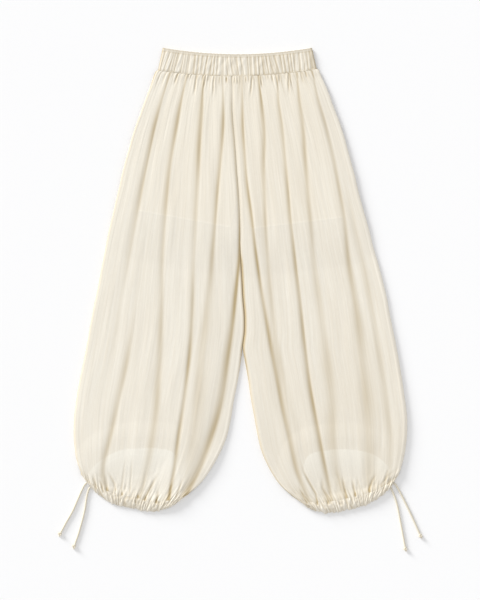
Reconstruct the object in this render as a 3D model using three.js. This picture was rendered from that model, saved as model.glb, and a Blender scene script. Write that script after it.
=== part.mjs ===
// Sheer harem trousers laid flat, face up: a gathered elastic waistband, two balloon legs over a short
// lining, drawn-in ankle casings and four free cord ends. Millimetres, +Z up, +Y towards the waist.
// Left is -X. Every cloth piece is a closed wall whose rows run from the outer edge of a leg to its inner edge.
import * as THREE from 'three';
import { mergeVertices } from 'three/addons/utils/BufferGeometryUtils.js';

const { lerp, smoothstep } = THREE.MathUtils;

// Cloth and seams
const seamGap = 0.3;
const backWall = 1.2;
const liningWall = 1;
const frontWall = 1.6;
const liningSlot = 0.3;

// Waistband
const band = {
  topY: 488, topLeftX: -163, topRightX: 150,
  seamLeftY: 441, seamRightY: 444, seamLeftX: -173, seamRightX: 160,
  sag: 13.5, gathers: 38, gatherHeight: 1.5, wall: 2.2, slot: 0.6, sideBulge: 1.2,
};
const bandHeight = 2 * band.wall + band.slot;

// Gathers under the waist seam and above the ankle casings, for each leg
const waistGathers = { count: band.gathers / 2, height: 1.3, reach: 62, uneven: 0.22 };
const hemGathers = { count: 26, height: 1.4, reach: 52, uneven: 0.2 };

// Ankle casings: two layers of cloth round a cord, so thicker in the middle of the strip
const casing = { edgeHeight: 2.3, middleHeight: 4.2, gatherHeight: 1.1, hemBow: -34.2 };
const backCasing = { edgeHeight: 1.6, middleHeight: 2.3, gatherHeight: 0.8, depth: 24, endDepth: 16 };

// Cords
const cordWidth = 3.6;
const knotSize = { radius: 4.2, stretch: 1.15, flat: 0.85 };

// Shape of the rows and of the rolled edges
const bowPower = 3;
const edgeRoll = 26;
const drapeShoulder = 13;
const drapeSlope = 17;

// Each leg from the waist seam (first row) to the casing (last row): the two ends of a line across the
// leg, and how far the middle of that line lies above (or below) its ends.
const sectionColumns = ['outerX', 'outerY', 'innerX', 'innerY', 'bow'];
const leftSections = [
  [-173, 441, -18, 428, 0],
  [-181, 424, -18, 413, 0],
  [-190, 400, -17.5, 390, 0],
  [-204, 366, -17, 358, 0],
  [-217, 332, -15, 325, 0],
  [-228, 304, -12.5, 298, 0],
  [-240, 264, -10, 262, 0],
  [-249, 230, -8, 230, 0],
  [-257, 196, -5, 196, 0],
  [-264, 168, -3, 168, 0],
  [-271, 138, -1.5, 138, 0],
  [-278, 106, -0.5, 106, 0],
  [-285, 72, 0, 72, 0],
  [-291, 36, 1.5, 36, 0],
  [-296, 2, 3.5, 2, 0],
  [-303, -36, 5.5, -36, 0],
  [-309, -72, 8.5, -72, 0],
  [-316, -108, 8.5, -108, 0],
  [-324, -142, 4, -142, 0],
  [-331, -176, 0, -176, 0],
  [-338, -210, -6, -212, 0],
  [-344.5, -248, -13.5, -250, -1],
  [-349, -286, -19.5, -287, -2],
  [-350, -320, -27.5, -324, -4],
  [-348.5, -350, -40, -356, -8],
  [-344.5, -374, -60, -393, -14],
  [-339.5, -392, -82, -424, -20],
  [-333, -408.5, -109, -448.5, -27],
];
const leftHem = { outerX: -320, outerY: -427, innerX: -131, innerY: -464 };
const rightSections = [
  [160, 444, -18, 428, -1],
  [169, 425, -18, 413, 0],
  [182, 401, -17.5, 390, 0],
  [195, 366, -17, 358, 0],
  [208, 334, -15, 325, 0],
  [218, 305, -12.5, 298, 0],
  [230, 264, -10, 262, 0],
  [240, 230, -8, 230, 0],
  [249, 196, -5, 196, 0],
  [256, 168, -3, 168, 0],
  [264, 138, -1.5, 138, 0],
  [272, 106, -0.5, 106, 0],
  [280, 72, 0, 72, 0],
  [289, 36, 1.5, 36, 0],
  [298, 2, 3.5, 2, 0],
  [307, -36, 5.5, -36, 0],
  [313.5, -72, 8.5, -72, 0],
  [321, -108, 8.5, -108, 0],
  [328, -142, 5, -142, 0],
  [334, -176, 10, -174, 0],
  [339.5, -210, 16, -209, 0],
  [345, -248, 21.5, -248, -1],
  [349.5, -286, 28.5, -286, -2],
  [350, -318, 35, -322, -4],
  [347, -350, 44.5, -360, -8],
  [342.5, -374, 62, -398, -14],
  [337.5, -392, 82, -428, -20],
  [331, -408.5, 109, -453, -27],
];
const rightHem = { outerX: 319, outerY: -428, innerX: 131, innerY: -468 };

// Long fold valleys: X at each of these levels, how deep each one is (0 to 1) and how high its lip stands
const foldLevels = [430, 330, 230, 130, 30, -70, -170, -270, -370, -470];
const depthLevels = [430, 130, -170, -470];
const leftFolds = [
  { x: [-148, -182, -204, -222, -239, -257, -276, -300, -322, -335], depth: [0.7, 0.8, 0.15, 0], lip: 2.2 },
  { x: [-133, -163, -180, -195, -208, -225, -240, -263, -285, -270], depth: [0.1, 0, 0.55, 0.8], lip: 2.6 },
  { x: [-113, -133, -149, -161, -167, -169, -172, -177, -192, -215], depth: [0.6, 0.5, 0.5, 0.5], lip: 2 },
  { x: [-80, -84, -90, -96, -99, -102, -109, -122, -136, -160], depth: [0.8, 0.7, 0.9, 1], lip: 3.4 },
  { x: [-39, -37, -45, -53, -62, -73, -85, -94, -108, -147], depth: [0.5, 0.5, 0.4, 0], lip: 1.8 },
  { x: [-26, -24, -19, -15, -13, -18, -27, -46, -79, -131], depth: [0, 0.1, 0.9, 1], lip: 3 },
];
const rightFolds = [
  { x: [155, 190, 220, 241, 259, 278, 301, 313, 320, 315], depth: [0, 0.15, 0.35, 0.2], lip: 1.6 },
  { x: [145, 176, 198, 216, 231, 244, 256, 262, 270, 284], depth: [0.7, 0.7, 0.6, 0.4], lip: 2.4 },
  { x: [119, 129, 139, 146, 156, 171, 183, 191, 200, 213], depth: [0.4, 0.4, 0.35, 0.3], lip: 1.6 },
  { x: [74, 88, 95, 103, 114, 126, 139, 155, 173, 193], depth: [0.8, 0.7, 1, 1], lip: 3.4 },
  { x: [42, 49, 49, 51, 57, 66, 80, 99, 138, 167], depth: [0.5, 0.4, 0.3, 0], lip: 1.8 },
  { x: [2, 5, 12, 22, 34, 51, 67, 88, 110, 143], depth: [0.5, 0.7, 1, 1], lip: 3 },
];
const valleyWidth = { steep: 6, gentle: 13 };
const lipShape = { offset: 12, width: 8 };
// Loft of the cloth between folds along the leg: low at the waist, full in the balloon
const loftLevels = [440, 300, 60, -150, -330, -430];
const loftHeights = [1, 2.4, 3, 3.4, 4.2, 2.2];

// Lining legs from the waist to their hems
const liningColumns = ['outerX', 'outerY', 'innerX', 'innerY'];
const leftLining = [
  [-158, 438.5, -18.6, 427.2],
  [-172, 375, -18, 370],
  [-186, 300, -13.5, 296],
  [-200, 225, -8.6, 224],
  [-206, 188, -6, 180],
  [-213, 147, -22, 113],
];
const rightLining = [
  [146, 441.5, -17.4, 427.2],
  [160, 375, -16.5, 370],
  [176, 300, -11.5, 296],
  [192, 225, -6.6, 224],
  [200, 188, -3.6, 180],
  [212, 133, 22, 110],
];

// Rear rims of the leg openings, from the outer corner round to the inner one
const leftRim = [
  [-318, -404], [-303, -387], [-278, -369], [-249, -356.5], [-211, -353], [-172, -353.5],
  [-148, -358], [-136, -371], [-131, -395], [-127, -420], [-125, -438],
];
const rightRim = [
  [317, -407], [309, -391], [287, -371], [261, -360], [219, -355], [184, -357],
  [152, -363], [138, -375], [132, -398], [127, -422], [125, -442],
];

// Routes of the cord ends, from the casing to the knot, chosen by hand
const cordHeight = cordWidth / 2 + 0.1;
const cordRoutes = {
  cord_a: [[-323, -424.6], [-327.5, -429], [-333, -440], [-341, -458], [-353, -485], [-365, -506], [-377, -528]],
  cord_b: [[-315.85, -433.8], [-319.5, -441], [-323, -456], [-327, -482], [-334, -510], [-341, -534], [-348, -554]],
  cord_c: [[314.9, -434.8], [319, -443], [328, -468], [336, -508], [341, -535], [345.3, -559]],
  cord_d: [[322, -425.2], [326.5, -430], [334, -443], [345, -465], [358, -492], [368, -514], [376, -532]],
};

// Value of a table row at a level, smooth between the given levels
function along(levels, values, level) {
  const last = levels.length - 1;
  const sign = Math.sign(levels[last] - levels[0]);
  let cell = 0;
  while (cell < last - 1 && (level - levels[cell + 1]) * sign > 0) cell += 1;
  const share = (level - levels[cell]) / (levels[cell + 1] - levels[cell]);
  const held = THREE.MathUtils.clamp(share, -0.5, 1.5);
  const before = values[Math.max(cell - 1, 0)];
  const after = values[Math.min(cell + 2, last)];
  const [from, to] = [values[cell], values[cell + 1]];
  const slopes = [(to - before) / (cell > 0 ? 2 : 1), (after - from) / (cell < last - 1 ? 2 : 1)];
  const [h, h2, h3] = [held, held ** 2, held ** 3];
  return (2 * h3 - 3 * h2 + 1) * from + (h3 - 2 * h2 + h) * slopes[0]
    + (3 * h2 - 2 * h3) * to + (h3 - h2) * slopes[1];
}

// Even shares from 0 to 1
function span(count) {
  return Array.from({ length: count + 1 }, (_, index) => index / count);
}

// Distance of a point outside a closed outline, 0 inside it
function distanceOutside(outline, x, y) {
  let inside = false;
  let nearest = Infinity;
  outline.forEach((end, index) => {
    const start = outline[(index + outline.length - 1) % outline.length];
    const [dx, dy] = [end[0] - start[0], end[1] - start[1]];
    const share = THREE.MathUtils.clamp(((x - start[0]) * dx + (y - start[1]) * dy) / (dx * dx + dy * dy), 0, 1);
    nearest = Math.min(nearest, Math.hypot(x - start[0] - share * dx, y - start[1] - share * dy));
    const crosses = (start[1] > y) !== (end[1] > y) && x < start[0] + (dx * (y - start[1])) / dy;
    if (crosses) inside = !inside;
  });
  return inside ? 0 : nearest;
}

// A closed cloth wall built from rows of points. Each point has a place `at` (0 to 1) along its row, and
// neighbouring rows may hold different numbers of points.
class Wall {
  constructor() {
    this.places = [];
    this.corners = [];
  }

  row(points, closed) {
    const made = points.map(({ x, y, z, at }) => ({ at, index: this.places.push([x, y, z]) - 1 }));
    if (closed) made.push({ at: 1, index: made[0].index });
    return made;
  }

  stitch(upper, lower) {
    let [i, j] = [0, 0];
    while (i < upper.length - 1 || j < lower.length - 1) {
      const upperNext = i < upper.length - 1 ? upper[i].at + upper[i + 1].at : Infinity;
      const lowerNext = j < lower.length - 1 ? lower[j].at + lower[j + 1].at : Infinity;
      if (upperNext <= lowerNext) {
        this.corners.push([upper[i].index, lower[j].index, upper[i + 1].index]);
        i += 1;
      } else {
        this.corners.push([upper[i].index, lower[j].index, lower[j + 1].index]);
        j += 1;
      }
    }
  }

  static between(outerPoints, innerPoints, closed = false) {
    const wall = new Wall();
    const outer = outerPoints.map((points) => wall.row(points, closed));
    const inner = innerPoints.map((points) => wall.row(points, closed));
    const last = outer.length - 1;
    for (let r = 0; r < last; r += 1) wall.stitch(outer[r], outer[r + 1]);
    for (let r = 0; r < inner.length - 1; r += 1) wall.stitch(inner[r + 1], inner[r]);
    wall.stitch(inner[0], outer[0]);
    wall.stitch(outer[last], inner[inner.length - 1]);
    if (!closed) {
      const side = (rows, end) => rows.map((row, r) => ({ at: r / (rows.length - 1), index: row.at(end).index }));
      wall.stitch(side(outer, 0), side(inner, 0));
      wall.stitch(side(inner, -1), side(outer, -1));
    }
    return wall;
  }

  geometry() {
    const volume = this.corners.reduce((sum, [a, b, c]) => {
      const [p, q, r] = [a, b, c].map((index) => new THREE.Vector3(...this.places[index]));
      return sum + p.dot(q.cross(r));
    }, 0);
    const facing = volume > 0 ? this.corners : this.corners.map(([a, b, c]) => [a, c, b]);
    const geometry = new THREE.BufferGeometry();
    geometry.setAttribute('position', new THREE.Float32BufferAttribute(this.places.flat(), 3));
    geometry.setIndex(facing.flat());
    geometry.computeVertexNormals();
    return geometry;
  }
}

const clothLook = { color: 0xefe6d3, roughness: 0.75, metalness: 0 };
const cordLook = { color: 0xf2e9d8, roughness: 0.7, metalness: 0 };
const garment = new THREE.Group();
garment.name = 'harem_pants';

function addPiece(name, geometry, look = clothLook) {
  const piece = new THREE.Mesh(geometry, new THREE.MeshStandardMaterial(look));
  piece.name = name;
  garment.add(piece);
}

// Waistband outline: the seam edge that the legs hang from, and a line at any share of the band's depth
function bandPoint(share, down) {
  const left = { x: lerp(band.topLeftX, band.seamLeftX, down), y: lerp(band.topY, band.seamLeftY, down) };
  const right = { x: lerp(band.topRightX, band.seamRightX, down), y: lerp(band.topY, band.seamRightY, down) };
  const sag = band.sag * (1 - (2 * share - 1) ** 2);
  return { x: lerp(left.x, right.x, share), y: lerp(left.y, right.y, share) - sag };
}

function bandSeamY(x) {
  return bandPoint((x - band.seamLeftX) / (band.seamRightX - band.seamLeftX), 1).y;
}

// Gathers: uneven pitch, four points to a gather (valley, rise, crest, fall)
const gatherPhases = [0, 0.25, 0.5, 0.75];
const gatherProfile = [0, 0.55, 1, 0.45];

function gatherEdge({ count, uneven }, index) {
  const inner = index > 0 && index < count;
  return (index + (inner ? uneven * Math.sin(2.3 * index) + uneven * 0.6 * Math.cos(5.1 * index) : 0)) / count;
}

function gatherColumns(gathers) {
  const columns = [];
  for (let g = 0; g < gathers.count; g += 1) {
    const [from, to] = [gatherEdge(gathers, g), gatherEdge(gathers, g + 1)];
    gatherPhases.forEach((phase, step) => columns.push({
      at: lerp(from, to, phase), rise: gatherProfile[step], gather: g,
    }));
  }
  columns.push({ at: 1, rise: 0, gather: gathers.count - 1 });
  return columns;
}

// How much of its height a gather keeps at a distance from its seam; each one runs a different way
function gatherFade({ reach }, gather, distance) {
  const own = reach * (0.75 + 0.4 * Math.sin(1.7 * gather + 0.6) * Math.cos(0.9 * gather));
  return 1 - smoothstep(distance, 0.1 * own, own);
}

function makeLeg(side) {
  const right = side === 'right';
  const outward = right ? 1 : -1;
  const sections = (right ? rightSections : leftSections).map(
    (row) => Object.fromEntries(sectionColumns.map((column, index) => [column, row[index]])),
  );
  const lining = (right ? rightLining : leftLining).map(
    (row) => Object.fromEntries(liningColumns.map((column, index) => [column, row[index]])),
  );
  const folds = right ? rightFolds : leftFolds;
  const hem = right ? rightHem : leftHem;
  const lastRow = sections.length - 1;

  // A point at a share of the way from the outer edge to the inner edge, on a row (whole or between rows)
  function legPoint(share, row) {
    const [above, below] = [sections[Math.floor(row)], sections[Math.min(Math.floor(row) + 1, lastRow)]];
    const mix = row - Math.floor(row);
    const own = Object.fromEntries(sectionColumns.map((column) => [column, lerp(above[column], below[column], mix)]));
    const innerX = own.innerX + (outward * seamGap) / 2;
    const x = lerp(own.outerX, innerX, share);
    const flatY = lerp(own.outerY, own.innerY, share) + own.bow * (1 - Math.abs(2 * share - 1) ** bowPower);
    const followsBand = Math.max(0, 1 - row / 2);
    return { x, y: lerp(flatY, Math.min(bandSeamY(x) - seamGap, flatY + 9), followsBand) };
  }

  function rowWidth(row) {
    const [outer, inner] = [legPoint(0, row), legPoint(1, row)];
    return Math.hypot(outer.x - inner.x, outer.y - inner.y);
  }

  // Share across the row at which a long fold crosses it
  function foldShare(fold, row) {
    let share = 0.5;
    const [outer, inner] = [legPoint(0, row), legPoint(1, row)];
    for (let turn = 0; turn < 8; turn += 1) {
      share = (along(foldLevels, fold.x, legPoint(share, row).y) - outer.x) / (inner.x - outer.x);
    }
    return share;
  }

  // The casing's curves: its seam with the leg, and the hem below it
  function casingPoint(share, down) {
    const seam = legPoint(share, lastRow);
    const low = {
      x: lerp(hem.outerX, hem.innerX, share),
      y: lerp(hem.outerY, hem.innerY, share) + casing.hemBow * (1 - Math.abs(2 * share - 1) ** bowPower),
    };
    return { x: lerp(seam.x, low.x, down), y: lerp(seam.y - seamGap, low.y, down) };
  }

  // The rear rim and lines beside it, away from the opening
  const rim = new THREE.CatmullRomCurve3(
    (right ? rightRim : leftRim).map(([x, y]) => new THREE.Vector3(x, y, 0)), false, 'centripetal',
  );
  function rimPoint(share, away) {
    const [place, way] = [rim.getPointAt(share), rim.getTangentAt(share)];
    const depth = lerp(backCasing.endDepth, backCasing.depth, smoothstep(Math.min(share, 1 - share), 0, 0.2));
    const reach = depth * away;
    return { x: place.x + outward * way.y * reach, y: place.y - outward * way.x * reach };
  }
  const alongRim = span(40);
  const rimOutside = alongRim.map((share) => rimPoint(share, 1 + seamGap / backCasing.endDepth));

  // Plan outlines of the pieces that lie under the front
  const isBackRow = (section) => section.outerY > -400;
  const backOutline = [
    ...sections.map((_, row) => legPoint(0, row)).filter((_, row) => isBackRow(sections[row])),
    ...rimOutside,
    ...sections.map((_, row) => legPoint(1, row)).filter((_, row) => isBackRow(sections[row])).reverse(),
    ...[0.75, 0.5, 0.25].map((share) => legPoint(share, 0)),
  ].map(({ x, y }) => [x, y]);
  const casingOutline = [...alongRim.map((share) => rimPoint(share, 0)), ...[...alongRim].reverse()
    .map((share) => rimPoint(share, 1))].map(({ x, y }) => [x, y]);
  const liningOutline = [...lining.map((row) => [row.outerX, row.outerY]),
    ...[...lining].reverse().map((row) => [row.innerX, row.innerY])];
  const layersBelow = [
    { outline: backOutline, top: backWall, shoulder: 0 },
    { outline: casingOutline, top: backCasing.middleHeight + backCasing.gatherHeight, shoulder: drapeShoulder },
    { outline: liningOutline, top: backWall + 2 * (seamGap + liningWall) + liningSlot - seamGap, shoulder: drapeShoulder },
  ];

  // Height of the front cloth's under side: what lies below it, then its loft, less the folds' valleys
  function frontUnder(share, row) {
    const { x, y } = legPoint(share, row);
    const width = rowWidth(row);
    const [fromOuter, fromInner] = [share * width, (1 - share) * width];
    const crotch = smoothstep(-y, -100, -30);
    const outerRoll = 1 - (1 - Math.min(fromOuter / edgeRoll, 1)) ** 2;
    const innerRoll = lerp(1, 1 - (1 - Math.min(fromInner / edgeRoll, 1)) ** 2, crotch);
    const rolled = outerRoll * innerRoll;
    const rest = layersBelow.reduce((most, { outline, top, shoulder }) => {
      const away = distanceOutside(outline, x, y);
      return Math.max(most, (top + seamGap) * (1 - smoothstep(away, shoulder, shoulder + drapeSlope)));
    }, seamGap);
    let valley = 1;
    let lips = 0;
    folds.forEach((fold) => {
      const beside = (x - along(foldLevels, fold.x, y));
      const depth = Math.max(0, along(depthLevels, fold.depth, y));
      const wide = beside < 0 ? valleyWidth.gentle : valleyWidth.steep;
      valley *= 1 - Math.min(depth, 1) * Math.exp(-((beside / wide) ** 2));
      lips += depth * fold.lip * Math.exp(-(((beside - lipShape.offset) / lipShape.width) ** 2));
    });
    const seamDip = 1 - (1 - crotch) * 0.8 * Math.exp(-((fromInner / 9) ** 2));
    const ends = smoothstep(row, 0, 4) * (1 - 0.75 * smoothstep(row, lastRow - 3, lastRow));
    const loft = Math.max(0, along(loftLevels, loftHeights, y)) * valley * seamDip;
    return rest + rolled * (loft + lips * ends);
  }

  // Columns that follow the long folds, a given number to each stretch between valleys
  function foldColumns(row) {
    const shares = [0, ...folds.map((fold) => foldShare(fold, row)).sort((a, b) => a - b), 1];
    return shares.slice(1).flatMap((to, index) => stops.map((stop) => lerp(shares[index], to, stop))).concat(1);
  }
  const stops = right ? [0, 0.3, 0.68, 0.86] : [0, 0.14, 0.32, 0.7];

  function frontPoint(at, row, rise = 0) {
    return { ...legPoint(at, row), z: frontUnder(at, row) + frontWall + rise, at };
  }
  const legLength = (row, from) => Math.abs(sections[from].outerY - sections[row].outerY);
  const rows = sections.map((_, row) => row);
  const outerRows = rows.map((row) => {
    const [fromWaist, fromHem] = [legLength(row, 0), legLength(row, lastRow)];
    const gathers = fromWaist < waistGathers.reach ? waistGathers : hemGathers;
    const distance = Math.min(fromWaist, fromHem);
    if (distance >= gathers.reach) return foldColumns(row).map((at) => frontPoint(at, row));
    return gatherColumns(gathers).map(({ at, rise, gather }) => (
      frontPoint(at, row, gathers.height * rise * gatherFade(gathers, gather, distance))));
  });
  const innerRows = rows.map((row) => foldColumns(row).map((at) => (
    { ...legPoint(at, row), z: frontUnder(at, row), at })));
  addPiece(`front_${side}_leg`, Wall.between(outerRows, innerRows).geometry());

  const backShape = new THREE.Shape(backOutline.map(([x, y]) => new THREE.Vector2(x, y)));
  addPiece(`back_${side}_leg`, new THREE.ExtrudeGeometry(backShape, { depth: backWall, bevelEnabled: false }));

  // Lining leg: a flattened tube, open at its waist and hem
  function liningLoop({ outerX, outerY, innerX, innerY }, inset, low, high) {
    const across = span(5).map((at) => lerp(inset / 150, 1 - inset / 150, at));
    const point = (share, z, at) => {
      const x = lerp(outerX, innerX, share);
      return { x, y: Math.min(lerp(outerY, innerY, share), bandSeamY(x) - 2 * seamGap), z, at };
    };
    const over = across.map((share, index) => point(share, high, (0.45 * index) / 5));
    const under = across.map((share, index) => point(share, low, 0.95 - (0.45 * index) / 5)).reverse();
    return [...over, ...under];
  }
  const liningLow = backWall + seamGap;
  const liningHigh = liningLow + 2 * liningWall + liningSlot;
  addPiece(`lining_${side}_leg`, Wall.between(
    lining.map((row) => liningLoop(row, 0, liningLow, liningHigh)),
    lining.map((row) => liningLoop(row, 2, liningLow + liningWall, liningHigh - liningWall)),
    true,
  ).geometry());

  // Front half of the ankle casing, full in the middle of its depth
  const casingDepths = [0, 0.25, 0.6, 0.88, 1];
  const puff = (down, low, high) => lerp(low, high, Math.sin(Math.PI * Math.min(Math.max(down, 0.04), 0.96)));
  const frontCasing = casingDepths.map((down) => gatherColumns(hemGathers).map(({ at, rise }) => ({
    ...casingPoint(at, down), at,
    z: puff(down, casing.edgeHeight, casing.middleHeight) + casing.gatherHeight * rise,
  })));
  const underCasing = [0, 1].map((down) => span(14).map((at) => ({ ...casingPoint(at, down), z: 0, at })));
  addPiece(`hem_casing_front_${side}`, Wall.between(frontCasing, underCasing).geometry());

  // Rear half of the casing, round the far side of the leg opening, under the front
  const rearEdge = (away, z) => alongRim.map((at) => ({ ...rimPoint(at, away), z, at }));
  const rearCasing = [0.5, 0].map((away) => gatherColumns(hemGathers).map(({ at, rise }) => ({
    ...rimPoint(at, away), at,
    z: puff(away, backCasing.edgeHeight, backCasing.middleHeight) + backCasing.gatherHeight * rise,
  })));
  const underRear = [rearEdge(1, 0), rearEdge(0, 0)];
  addPiece(`hem_casing_back_${side}`, Wall.between(
    [rearEdge(1, backCasing.edgeHeight), ...rearCasing], underRear,
  ).geometry());
}

// Waistband: one flattened ring. Its front is gathered, its rear rests flat, and its elastic fills the wall.
function makeWaistband() {
  const downs = [0, 0.08, 0.35, 0.65, 0.92, 1];
  const edgeHeights = [0.72, 0.97, 1, 0.97, 0.95, 0.78];
  const backCount = 10;
  const outer = downs.map((down, index) => {
    const columns = gatherColumns({ ...waistGathers, count: band.gathers });
    const front = columns.map(({ at, rise }) => {
      const place = bandPoint(at, down);
      const fromEnd = Math.min(at, 1 - at) / 0.03;
      const top = lerp(bandHeight * 0.62, bandHeight, Math.min(fromEnd, 1));
      return { ...place, z: top * edgeHeights[index] + band.gatherHeight * rise, at: 0.48 * at };
    });
    const bulge = (share, way, at) => {
      const place = bandPoint(share, down);
      return { x: place.x + way * band.sideBulge, y: place.y, z: bandHeight * 0.3, at };
    };
    const back = Array.from({ length: backCount + 1 }, (_, step) => (
      { ...bandPoint(1 - step / backCount, down), z: 0, at: 0.52 + (0.44 * step) / backCount }));
    return [...front, bulge(1, 1, 0.5), ...back, bulge(0, -1, 0.98)];
  });
  const inset = 0.012;
  const inner = downs.map((down) => {
    const across = Array.from({ length: backCount + 1 }, (_, step) => step / backCount);
    const place = (step) => bandPoint(lerp(inset, 1 - inset, step), down);
    const over = across.map((step) => ({ ...place(step), z: band.wall + band.slot, at: 0.48 * step }));
    const under = across.map((step) => ({ ...place(1 - step), z: band.wall, at: 0.52 + 0.44 * step }));
    return [...over, ...under];
  });
  addPiece('waistband', Wall.between(outer, inner, true).geometry());
}

// One free cord end: a tube along its route, and the knot at its end
function makeCord(name, points) {
  const path = new THREE.CatmullRomCurve3(points.map(([x, y]) => new THREE.Vector3(x, y, cordHeight)));
  const section = new THREE.Shape(Array.from({ length: 8 }, (_, index) => {
    const angle = (index + 0.5) * (Math.PI / 4);
    return new THREE.Vector2(Math.cos(angle), Math.sin(angle)).multiplyScalar(cordWidth / 2);
  }));
  const steps = Math.round(path.getLength() / (3 * cordWidth));
  addPiece(name, new THREE.ExtrudeGeometry(section, { steps, extrudePath: path, bevelEnabled: false }), cordLook);
  const [end, way] = [path.getPointAt(1), path.getTangentAt(1)];
  const knot = new THREE.SphereGeometry(knotSize.radius, 10, 7);
  knot.deleteAttribute('normal');
  knot.deleteAttribute('uv');
  const solid = mergeVertices(knot).scale(knotSize.stretch, 1, knotSize.flat);
  solid.rotateZ(Math.atan2(way.y, way.x));
  const centre = end.clone().addScaledVector(way, knotSize.radius * knotSize.stretch + seamGap);
  solid.translate(centre.x, centre.y, knotSize.radius * knotSize.flat + 0.05);
  addPiece(`${name}_knot`, solid, cordLook);
}

makeWaistband();
makeLeg('left');
makeLeg('right');
Object.entries(cordRoutes).forEach(([name, points]) => makeCord(name, points));

export default garment;
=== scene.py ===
import math
import bpy
import numpy as np
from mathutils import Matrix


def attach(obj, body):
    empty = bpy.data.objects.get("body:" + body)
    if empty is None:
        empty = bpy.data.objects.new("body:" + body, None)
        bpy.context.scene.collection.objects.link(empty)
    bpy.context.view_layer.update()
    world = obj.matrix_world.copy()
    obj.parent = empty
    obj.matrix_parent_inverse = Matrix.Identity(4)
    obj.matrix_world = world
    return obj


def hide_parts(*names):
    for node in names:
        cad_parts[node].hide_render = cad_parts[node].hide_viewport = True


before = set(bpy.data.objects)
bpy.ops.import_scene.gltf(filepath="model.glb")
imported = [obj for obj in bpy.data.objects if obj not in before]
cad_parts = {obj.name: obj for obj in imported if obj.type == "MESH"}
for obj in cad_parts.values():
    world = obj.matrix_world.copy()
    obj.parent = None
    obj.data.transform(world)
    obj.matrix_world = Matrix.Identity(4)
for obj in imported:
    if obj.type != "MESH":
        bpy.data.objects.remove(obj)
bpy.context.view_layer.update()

mm = 0.001

# Cream harem pants laid flat, seen from straight above. Plan sizes are in millimetres and every mesh is
# made in metres. Left is -X, the waist is +Y, up is +Z.

seam = {"gap": 0.3, "backWall": 1.2, "liningWall": 1.0, "liningSlot": 0.3, "casingGap": 0.06}
liningLow = seam["backWall"] + seam["gap"]
liningTop = liningLow + 2 * seam["liningWall"] + seam["liningSlot"]


def addObject(name, data):
    made = bpy.data.objects.new(name, data)
    bpy.context.collection.objects.link(made)
    return made


# height in metres above the floor, framed in metres along the long side of the picture
view = {"centre": (-1, -41), "height": 5.0, "framed": 1.26, "sensor": 36.0, "farthest": 50}


def makeCamera():
    made = bpy.data.cameras.new("photoCamera")
    made.sensor_width = view["sensor"]
    made.lens = view["sensor"] * view["height"] / view["framed"]
    made.clip_end = view["farthest"]
    camera = addObject("photoCamera", made)
    camera.location = (view["centre"][0] * mm, view["centre"][1] * mm, view["height"])
    bpy.context.scene.camera = camera


makeCamera()
print("camera ready")


# Shader maths

class Value:  # a shader socket that takes part in sums
    def __init__(self, look, socket):
        self.look = look
        self.socket = socket

    def maths(self, operation, first, second):
        return self.look.node("ShaderNodeMath", {"operation": operation}, {0: first, 1: second})

    def __add__(self, other):
        return self.maths("ADD", self, other)

    def __sub__(self, other):
        return self.maths("SUBTRACT", self, other)

    def __mul__(self, other):
        return self.maths("MULTIPLY", self, other)

    def other(self, name):  # another output of the same node
        return Value(self.look, self.socket.node.outputs[name])


class Nodes:  # a node tree, filled through one method
    def __init__(self, tree):
        self.tree = tree

    def node(self, kind, settings=None, inputs=None):
        made = self.tree.nodes.new(kind)
        for key, value in (settings or {}).items():
            setattr(made, key, value)
        for key, value in (inputs or {}).items():
            if isinstance(value, Value):
                self.tree.links.new(value.socket, made.inputs[key])
            else:
                made.inputs[key].default_value = value
        return Value(self, made.outputs[0]) if len(made.outputs) else None


class Look(Nodes):  # one material and its nodes
    def __init__(self, name, **constants):
        self.material = bpy.data.materials.new(name)
        self.material.use_nodes = True
        super().__init__(self.material.node_tree)
        self.shader = self.tree.nodes["Principled BSDF"]
        for socket, value in constants.items():
            self.shader.inputs[socket.replace("_", " ")].default_value = value

    def mix(self, share, first, second):
        made = self.tree.nodes.new("ShaderNodeMix")
        made.data_type = "RGBA"
        for index, value in ((0, share), (6, first), (7, second)):
            if isinstance(value, Value):
                self.tree.links.new(value.socket, made.inputs[index])
            else:
                made.inputs[index].default_value = value
        return Value(self, made.outputs[2])

    def feed(self, socket, value):
        self.tree.links.new(value.socket, self.shader.inputs[socket])


# light and warm are the cloth's own tones, mixed by noise; deep is the colour painted shade mixes towards in
# folds, creases, gathers and gaps (partly the denser doubled cloth there); the fourth colour is the one
# painted light lifts the cloth towards
clothLook = {
    "light": (0.955, 0.91, 0.812, 1), "warm": (0.875, 0.805, 0.68, 1), "deep": (0.47, 0.37, 0.21, 1),
    "paintedLight": (0.995, 0.955, 0.855, 1), "roughness": 0.62, "sheen": 0.3, "crinkleMm": 0.42, "weaveMm": 0.05,
    # scale across, scale along, then how detailed and how rough each pattern is
    "streaks": (190, 5.5, 4.0, 0.62), "clouds": (13, 6, 2.0, 0.5), "slubs": (620, 60, 2.0, 0.5),
    "weave": (2600, 2200, 1.0, 0.5), "crumples": (210, 90, 3.0, 0.6),
}
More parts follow.
